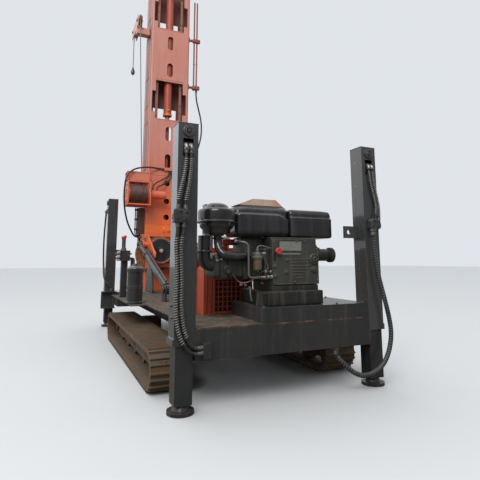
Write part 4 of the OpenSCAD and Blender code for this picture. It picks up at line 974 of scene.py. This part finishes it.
# %% [markdown]
# Behind the rear legs the mast turns on a slewing gearbox: a black front face in a
# tan rim, a toothed crown behind it and the big bolted flange against the mast.

# %% Slewing gearbox
BOX_X, BOX_Z = -145, 1155
piece("gearbox_rim", [
    turned("168 10, 170 -10, 176 -14, 196 -14, 203 -9, 204 0, 204 30, 201.5 34, 201.5 100",
      (BOX_X, 3600, BOX_Z), FRONT, 96),
    turned("201 0, 226 1, 228 4, 228 30, 226 33, 201 34", (BOX_X, 3745, BOX_Z), FRONT, 96)],
    "slew_rust", "mast", 40)
piece("gearbox_face", [turned("171 0, 171 6, 150 9, 146 4, 60 7, 56 16, 40 18, 38 12, 0 12",
                              (BOX_X, 3601, BOX_Z), REAR, 72)], "gloss_black", "mast", 40)
piece("gearbox_hub", [lobed("20 0, 27 2, 28 10, 22 13, 10 13, 9 9", (BOX_X, 3589, BOX_Z), 64, 8, 0.14)],
      "lid_paint", "mast")
piece("gearbox_studs", [
    bolts(circle_of((BOX_X, 3745, BOX_Z), 217, 1, np.pi / 2 - np.radians(np.arange(-72, 73, 9.0))), REAR, 10, 22),
    bolts(circle_of((BOX_X, 3586.5, BOX_Z), 186, 1, np.pi / 2 - spread(16)), REAR, 8.5, 7),
    bolts(circle_of((-185, 3870, 1110), 272, 1, np.pi / 2 - spread(24)), REAR, 12, 11)], "zinc_dark", body="mast")

# %% [markdown]
# Raising cylinders: the barrel ends in a turned gland, and ports and a clamped pipe
# lie along it. Barrels and rods ride on their own bodies.

# %% Raising cylinders
BARREL_EYE, ROD_EYE, CYLINDER_X = (1950, 680), (3720, 1250), 440
rise = np.array((0, *np.subtract(ROD_EYE, BARREL_EYE)), float)
rise /= np.linalg.norm(rise)
over = np.array((0, -rise[2], rise[1]))
glands, pipes = [], []
for x in (-CYLINDER_X, CYLINDER_X):
    foot = np.array((x, *BARREL_EYE))
    for profile, s in (([(46.5, 0), (56.5, 3), (56.5, 48), (52, 53), (52, 60), (46, 64), (34, 66)], 1268),
                       ([(46.5, 0), (50, 3), (50, 22), (46.5, 25)], 85),
                       ([(46.2, 0), (48.5, 1), (48.5, 24), (46.2, 25)], 420),
                       ([(46.2, 0), (48.5, 1), (48.5, 24), (46.2, 25)], 920)):
        glands.append(turned(profile, foot + rise * s, rise))
    pipes.append(bend([foot + rise * s + over * out for s, out in (
        (130, 66), (145, 69), (180, 69), (600, 69), (1170, 69), (1210, 69), (1225, 66))], 7, 60, 12))
    pipes += [turned("0 0, 16 0, 16 16, 12 18, 12 28, 0 28", foot + rise * s + over * 44, over, 24)
              for s in (130, 1225)]
piece("cylinder_glands", glands, "chassis_black", "raise_barrels", 40)
piece("cylinder_pipes", pipes, "zinc_dark", body="raise_barrels", sharp=60)

# %% [markdown]
# Side equipment: the return filter's canister has a rolled rim, a lid and a strap, and
# the valve bank is a stack of sections with a lever on each.

# %% Side equipment
CAN_X, CAN_Y = -830, 1850
CAN = (CAN_X, CAN_Y, 0)
piece("canister_cap", [
    turned("0 917, 88 917, 88.5 905, 89.5 902, 90 880, 90 905, 89.8 921, 86 926, 78 928, 74 936, 60 944, 36 949, "
        "34 962, 18 964, 16 972, 0 973", CAN, UP, 56),
    turned("82.2 700, 85.5 702, 85.5 738, 82.2 740", CAN, UP, 56),
    turned("82.2 555, 87 557, 87 572, 82.2 576", CAN, UP, 56)], "leg_paint", sharp=40)
piece("canister_bolts", [bolts(circle_of((CAN_X, CAN_Y, 935), 68, 2, spread(6, 0.3)), UP, 7, 8)], "zinc")
bank = [box((-872, 2665, 1012), (-768, 2684, 1118), 6, 6), box((-872, 2978, 1012), (-768, 3000, 1118), 6, 6)]
levers, knobs, bank_nuts, bank_pipes = [], [], [], []
for y in range(2710, 2951, 60):
    bank += [box((-884, y - 26, 1004), (-756, y + 26, 1126), 4, 6),
             box((-840, y - 21, 1120), (-800, y + 21, 1138), 4, 5)]
    levers.append(turned("20 0, 20 6, 16 10, 17 14, 13 19, 14 23, 9.5 32, 7.2 34",
                         (-820, y, 1136), UP, 24))
    knobs.append(turned("7.2 0, 10 1, 13 8, 16.5 20, 16.5 28, 13 36, 6 40, 0 40.5",
                        (-820, y, 1285), UP, 24))
    bank_nuts += [turned("11 0, 14.5 1, 14.5 12, 10 13, 10 24, 0 25", (x, y, z), d, 6)
                  for x, d in ((-884, LEFT), (-756, RIGHT)) for z in (1035, 1090)]
    bank_pipes.append(bend([(-732, y, 1035), (-716, y, 1035), (-700, y, 1020), (-697, y, 980), (-697, y, 800),
                            (-697, y, 600), (-697, y, 552)], 8.5, 40, 12))
piece("valve_sections", bank, "leg_paint", sharp=40)
piece("lever_boots", levers, "hose_rubber", sharp=60)
piece("lever_knobs", knobs, "knob_red", sharp=50)
piece("valve_nuts", bank_nuts, "zinc_dark")
piece("bank_pipes", bank_pipes, "zinc_dark", sharp=60)

# %% [markdown]
# The oil tank and cooler are folded orange sheet. The cooler's mesh stands in front of its
# inside, painted near black as shade, and the tank carries a filler cap, bolted covers and seams.

# %% Oil tank and cooler
piece("oil_filler_cap", [turned("62 1190, 68 1191, 70 1195, 70 1222, 66 1228, 40 1234, 0 1236",
                                (-170, 960, 0))], "plate_metal", sharp=40)
folds = [rib((x, 599, 570), (x, 599, 930), 12, 5) for x in (-455, -412)]
folds.append(rib((-482, 801, 560), (-482, 801, 1100), 10, 4, LEFT))
folds += [rib((-480.5, 885, z), (-480.5, 1160, z), 12, 5, LEFT) for z in (600, 1090)]
folds += [box((x0, 592, z0), (x1, 604, z1), 3, 6) for x0, x1, z0, z1 in (
    (-395, -30, 848, 866), (-395, -30, 556, 574), (-46, -30, 556, 866), (-396, -378, 556, 866))]
piece("sheet_folds", folds, "box_orange", sharp=50)
piece("tank_bolts", [bolts([(x, 592, z) for x in (-387, -212, -38) for z in (565, 857)], REAR, 7, 6),
                     bolts([(x, 1180.5, z) for x in (-440, -290, -140) for z in (620, 1060)], FRONT, 10, 8)],
      "zinc_dark")

# %% [markdown]
# The pump hangs on the engine's right end: a bolted flange, a ribbed body and a
# pulley with a grooved rim.

# %% Pump
PUMP_Y, PUMP_Z = 250, 1050
piece("pump_body", [
    turned("0 0, 72 0, 74 3, 74 20, 70 24, 54 26, 51.5 32, 51.5 60, 54 62, 54 68, 51.5 70, 51.5 100, 54 102, 54 108, "
        "51.5 110, 51.5 190, 45 198, 45 212, 60 214, 63.5 217, 63.5 225, 55 229, 55 234, 63.5 238, 63.5 246, 60 249, "
        "40 249.5, 38 243, 22 243, 20 249.5, 0 249.5", (326, PUMP_Y, PUMP_Z), RIGHT, 56),
    box((372, PUMP_Y - 22, 1092), (440, PUMP_Y + 22, 1112), 6),
    turned("0 0, 18 0, 18 10, 13 12, 13 26, 0 26", (405, PUMP_Y, 1110), UP, 24)],
    "engine_cast", sharp=40, node_name="hydraulic_pump")
piece("pump_bolts", [bolts(circle_of((346, PUMP_Y, PUMP_Z), 63, 0, spread(6, 0.5)), RIGHT, 7.5, 7),
                     bolts(circle_of((571, PUMP_Y, PUMP_Z), 48, 0, spread(6)), RIGHT, 6, 5)], "zinc_dark")

# %% [markdown]
# Running gear: every shoe has two pairs of bolts, and the sprocket and idler carry
# hub covers.

# %% Tracks
TRACK_R, TRACK_BASE, SPROCKET_Y, SHOES = 170, 2370, 605, 54
BELT_R = TRACK_R - 16
ARC = math.pi * BELT_R
LOOP = 2 * (TRACK_BASE + ARC)


def on_loop(s):
    """Place (y, z) on the outside of the track plates at distance s, and the angle from upright there."""
    s = s % LOOP
    a = np.clip(s - TRACK_BASE, 0, ARC) / BELT_R + max(s - 2 * TRACK_BASE - ARC, 0) / BELT_R
    forward = min(s, TRACK_BASE) - min(max(s - TRACK_BASE - ARC, 0), TRACK_BASE)
    return SPROCKET_Y + forward + BELT_R * math.sin(a), TRACK_R + BELT_R * math.cos(a), a


shoe_bolts = []
for i in range(SHOES):
    y, z, a = on_loop((i + 0.46) * LOOP / SHOES)
    out = np.array((0, math.sin(a), math.cos(a)))
    if out[2] > -0.99:
        shoe_bolts.append(bolts([np.array((x * side, y, z)) - out * 1.5 for x in (-862, -822, -742, -702)
                                 for side in (-1, 1)], out, 8.5, 7.5))
piece("shoe_bolts", shoe_bolts, "track_rust")
hubs = []
for side in (-1, 1):
    d = (side, 0, 0)
    hubs += [turned("51 0, 64 1, 66 4, 66 12, 60 16, 30 18, 28 26, 0 27",
                    (side * 845, SPROCKET_Y, TRACK_R), d),
             turned("47 0, 54 1, 54 8, 46 12, 0 13", (side * 832, SPROCKET_Y + TRACK_BASE, TRACK_R), d, 36),
             bolts(circle_of((side * 848, SPROCKET_Y, TRACK_R), 55, 0, spread(8)), d, 7, 14)]
piece("track_hubs", hubs, "track_rust", sharp=40)

# %% [markdown]
# Front side: the drill head's gear case is bolted, its two motors have flanges and port
# blocks, the carriage has gussets, and the spindle ends in a threaded tool joint.

# %% Drill head
DRILL_Y = 4560
DRILL = (0, DRILL_Y, 0)
head = [turned(profile, DRILL, UP, sides) for profile, sides in (
    ([(100, 1276), (172, 1276), (174, 1280), (174, 1289), (168, 1294), (112, 1296), (104, 1290)], 72),
    ([(176, 998), (184.8, 1000), (184.8, 1018), (176, 1020)], 72),
    ([(176, 1232), (184.8, 1234), (184.8, 1252), (176, 1254)], 72),
    ([(0, 928), (78, 928), (84, 932), (88, 952), (0, 952)], 56))]
for x in (-95, 95):
    head += [turned("58 1293, 80 1293, 82 1296, 82 1308, 78 1312, 64 1314, 61.5 1322, 61.5 1352, 64 1354, 64 1360, "
        "61.5 1362, 61.5 1430, 65.5 1433, 65.5 1452, 62 1456, 59 1470", (x, DRILL_Y, 0), UP, 48),
             turned("56 1462, 61 1464, 60 1474, 50 1482, 20 1486, 0 1486", (x, DRILL_Y, 0), UP, 48),
             box((x - 34, DRILL_Y + 52, 1372), (x + 34, DRILL_Y + 82, 1424), 5)]
    head += [turned("14.5 0, 14.5 12, 10 14, 10 24, 0 25", (x + u, DRILL_Y + 80, 1398), FRONT, 6) for u in (-16, 16)]
piece("head_casing", head, "chassis_black", "head", 40)
case_angles = spread(16, 0.196)
case_angles = case_angles[np.abs(np.sin(case_angles)) > 0.55]
piece("head_bolts", [
    bolts(circle_of((0, DRILL_Y, 1293), 150, 2, case_angles), UP, 11, 10),
    *(bolts(circle_of((x, DRILL_Y, 1310), 71, 2, spread(4, np.pi / 4)), UP, 8.5, 9) for x in (-95, 95)),
    bolts(circle_of((0, DRILL_Y, 952), 168, 2, spread(12)), DOWN, 10, 10)], "zinc_dark", body="head")
gussets = [box((x - 7, 4350, low), (x + 7, 4405, low + 140), 3, 6) for x in (-235, 235) for low in (1020, 1360)]
gussets += [box((-372, 4350, z - 10), (372, 4366, z + 10), 4) for z in (925, 1590)]
gussets += [box((x - 10, 4350, 925), (x + 10, 4366, 1590), 4) for x in (-362, 362)]
piece("carriage_frame", gussets, "chassis_black", "head", 40)
piece("carriage_bolts", [bolts([(x, 4356, z) for x in (-330, -270, 270, 330) for z in range(970, 1521, 110)],
                               FRONT, 12, 11)], "zinc_dark", body="head")

# %% Spindle, rod guide and hoist
thread = [(r + 2.8 * i, 606 + 9.5 * i + up) for i in range(9) for r, up in ((29, 0), (32.5, 3), (32.5, 5), (29, 8))]
piece("spindle_turned", [
    turned([(0, 600), (26, 600), *thread, (54.5, 694), (54.5, 760), (51, 764), (51, 790), (54.8, 795), (54.8, 850),
       (50, 856), (50, 868), (54.8, 874), (54.8, 938), (52, 944), (0, 944)], DRILL, UP, 64),
    box((-53.5, DRILL_Y - 36, 704), (53.5, DRILL_Y + 36, 750), 3, 6)],
    "bright_steel", body="spindle", sharp=40, node_name="spindle")
piece("guide_ring", [
    turned("111 474, 150 474, 152 478, 152 496, 148 501, 118 501, 111 494", DRILL, UP, 64),
    turned("112 405, 128 405, 130 410, 130 424, 112 424", DRILL, UP, 64),
    *(prism("4262 300, 4262 424, 4520 424", 0, x - 8, x + 8, 2) for x in (-195, 195))],
    "chassis_black", "mast", 40)
piece("guide_bolts", [bolts(circle_of((0, DRILL_Y, 500), 138, 2, spread(8, 0.39)), UP, 10, 9)],
      "zinc_dark", body="mast")
piece("sheave_pins", [
    turned("0 0, 28 0, 30 2, 30 6, 26 8, 16 9, 14.5 16, 0 17", (x, y, SHEAVE_Z), d, 32)
    for y in (3982, 4410) for x, d in ((-580, LEFT), (-500, RIGHT))], "zinc_dark", body="mast", sharp=40)
piece("bracket_welds", [rib((-345, *a), (-345, *b), 12, 7, LEFT) for a, b in (
    ((3980, 4870), (4100, 4870)), ((3980, 4985), (4100, 4985)), ((3978, 4872), (3978, 4983)))],
    "mast_orange", "mast", 60)

# %% [markdown]
# The flywheel is turned: a heavy rim with a belt groove, a thin web with five cast
# spokes and a hub with a starting dog.

# %% Flywheel
HUB_X, HUB_Z = 130, 940
wheel = [turned("0 28, 150 28, 158 22, 164 4, 168 0, 203 0, 208.5 4, 209.5 10, 209.5 40, 202 46, 202 54, 209.5 60, "
    "209.5 100, 207 107, 203 110, 168 110, 164 106, 158 52, 150 46, 60 46, 56 50, 54 98, 50 104, 30 105, 28 94, 18 94, "
    "16 109, 0 109.5", (HUB_X, 456, HUB_Z), FRONT, 96)]
for a in spread(5, 0.3):
    c, s = math.cos(a), math.sin(a)
    wheel.append(prism([(HUB_X + c * r - s * w, HUB_Z + s * r + c * w)
                        for r, w in ((45, -24), (162, -16), (162, 16), (45, 24))], 1, 496, 524, 5))
piece("flywheel_turned", wheel, "engine_cast", "flywheel", 40, "flywheel")
piece("wheel_bolts", [bolts(circle_of((HUB_X, 559, HUB_Z), 40, 1, spread(5)), FRONT, 6.8, 6)], "zinc_dark",
      body="flywheel")

# %% [markdown]
# Mast front: welded seams across the plate, window frames, and countersunk bolt rows
# on the guide rails. The raising cylinders' pins have caps.

# %% Mast front and pins
FACE = 4260
seams = [rib((-250, FACE, z), (250, FACE, z), 12, 5, FRONT) for z in (620, 1720, 2620, 4150, 5700)]
for low, high in ((3000, 3680), (4650, 5330)):
    seams += [rib((x, FACE, low), (x, FACE, high), 14, 7, FRONT) for x in (-216, 216)]
    seams += [rib((-216, FACE, z), (216, FACE, z), 14, 7, FRONT) for z in (low, high)]
seams += [rib((x, 3960, z), (x, 4240, z), 12, 4, d)
          for x, d in ((-345.5, LEFT), (345.5, RIGHT)) for z in (2000, 3600, 5200)]
piece("front_seams", seams, "mast_orange", "mast", 50)
piece("rail_bolts", [turned("12.5 -2, 12.5 2, 11 4, 6 4, 5 1, 0 1", (x, 4320, z), FRONT, 18)
                     for x in (-300, 300) for z in range(450, 5950, 250)], "bright_steel", body="mast", sharp=40)
piece("rail_wear", [rib((x, 4319.5, 380), (x, 4319.5, 5970), 10, 2.2, FRONT) for x in (-336, -264, 264, 336)],
      "bright_steel", body="mast", sharp=60)
pins = {"chassis": [], "mast": []}
for side in (-1, 1):
    d = (side, 0, 0)
    for body, x, y, z, r in (("chassis", 390, 3350, 1080, 52), ("chassis", 494, *BARREL_EYE, 36),
                             ("mast", 478, *ROD_EYE, 34)):
        cap = [(0, 0), (r, 0), (r + 2, 2), (r + 2, 9), (r - 2, 12), (0.62 * r, 13), (0.58 * r, 8), (0, 8)]
        pins[body] += [turned(cap, (side * x, y, z), d), bolts([(side * (x + 8), y, z)], d, 0.3 * r, 0.2 * r)]
for body, shapes in pins.items():
    piece("pin_ends_" + body, shapes, "zinc_dark", body=body, sharp=40)

# %% [markdown]
# Deck and frame: plate seams, bolts along the edges, weld beads where the platform and
# the towers stand, and covers on the track frames.

# %% Deck and frame fittings
DECK = 549
seams = [rib((-720, y, DECK), (715, y, DECK), 12, 3, UP) for y in (1240, 2100, 2960)]
seams += [rib((x0, y0, DECK), (x1, y1, DECK), 12, 6, UP) for x0, x1, y0, y1 in (
    (-242, 735, 592, 592), (-242, -242, 10, 592), (-488, -23, 592, 592), (-488, -488, 600, 1190))]
seams.append(prism("-200 1450, 200 1450, 200 1950, -200 1950", 2, 548.5, 553.5, 1.5))
seams += [bend([(x + u, 1520, z) for u, z in ((-30, 552), (-30, 568), (-22, 576), (22, 576), (30, 568), (30, 552))],
               4.5, 20, 10) for x in (-70, 70)]
piece("deck_seams", seams, "deck_rust", sharp=50)
piece("deck_bolts", [
    bolts([(x, y, DECK) for x in (-700, 690) for y in (750, 1350, 1950, 2550, 3150, 3600)], UP, 11, 9),
    bolts([(x, y, 553) for x in (-185, 0, 185) for y in (1465, 1935)], UP, 8, 6),
    bolts([(x, y, 659) for x in (-210, 450, 710) for y in (30, 550)], UP, 11, 9)], "track_rust")
covers = []
for side in (-1, 1):
    for y in (1050, 1790, 2530):
        covers += [prism([(y - 70, 150), (y + 70, 150), (y + 70, 212), (y - 70, 212)], 0, side * 834.5 - 3.5,
                         side * 834.5 + 3.5, 1),
                   bolts([(side * 837.5, y + u, z) for u in (-56, 56) for z in (161, 201)], (side, 0, 0), 7, 6)]
piece("frame_covers", covers, "track_rust", sharp=40)
tower_welds = []
for side in (-1, 1):
    tower_welds += [rib((x * side, 3100, DECK), (x * side, 3600, DECK), 14, 7, UP) for x in (343, 392)]
    tower_welds += [rib((side * 343, y, DECK), (side * 392, y, DECK), 14, 7, UP) for y in (3098, 3602)]
piece("tower_welds", tower_welds, "chassis_black", sharp=60)
piece("leg_marks", [
    turned([(k * r, -1), (0.9 * k * r, 1.2), (0.5 * k * r, 1.6), (0, 1.4)], (742, 95 + dy, z + dz), LEFT, 11)
    for z, r in ((1854, 15), (1645, 13), (1518, 10)) for dy, dz, k in ((0, 0, 1), (8, 12, 0.6), (-7, -11, 0.7))],
    "slew_rust")
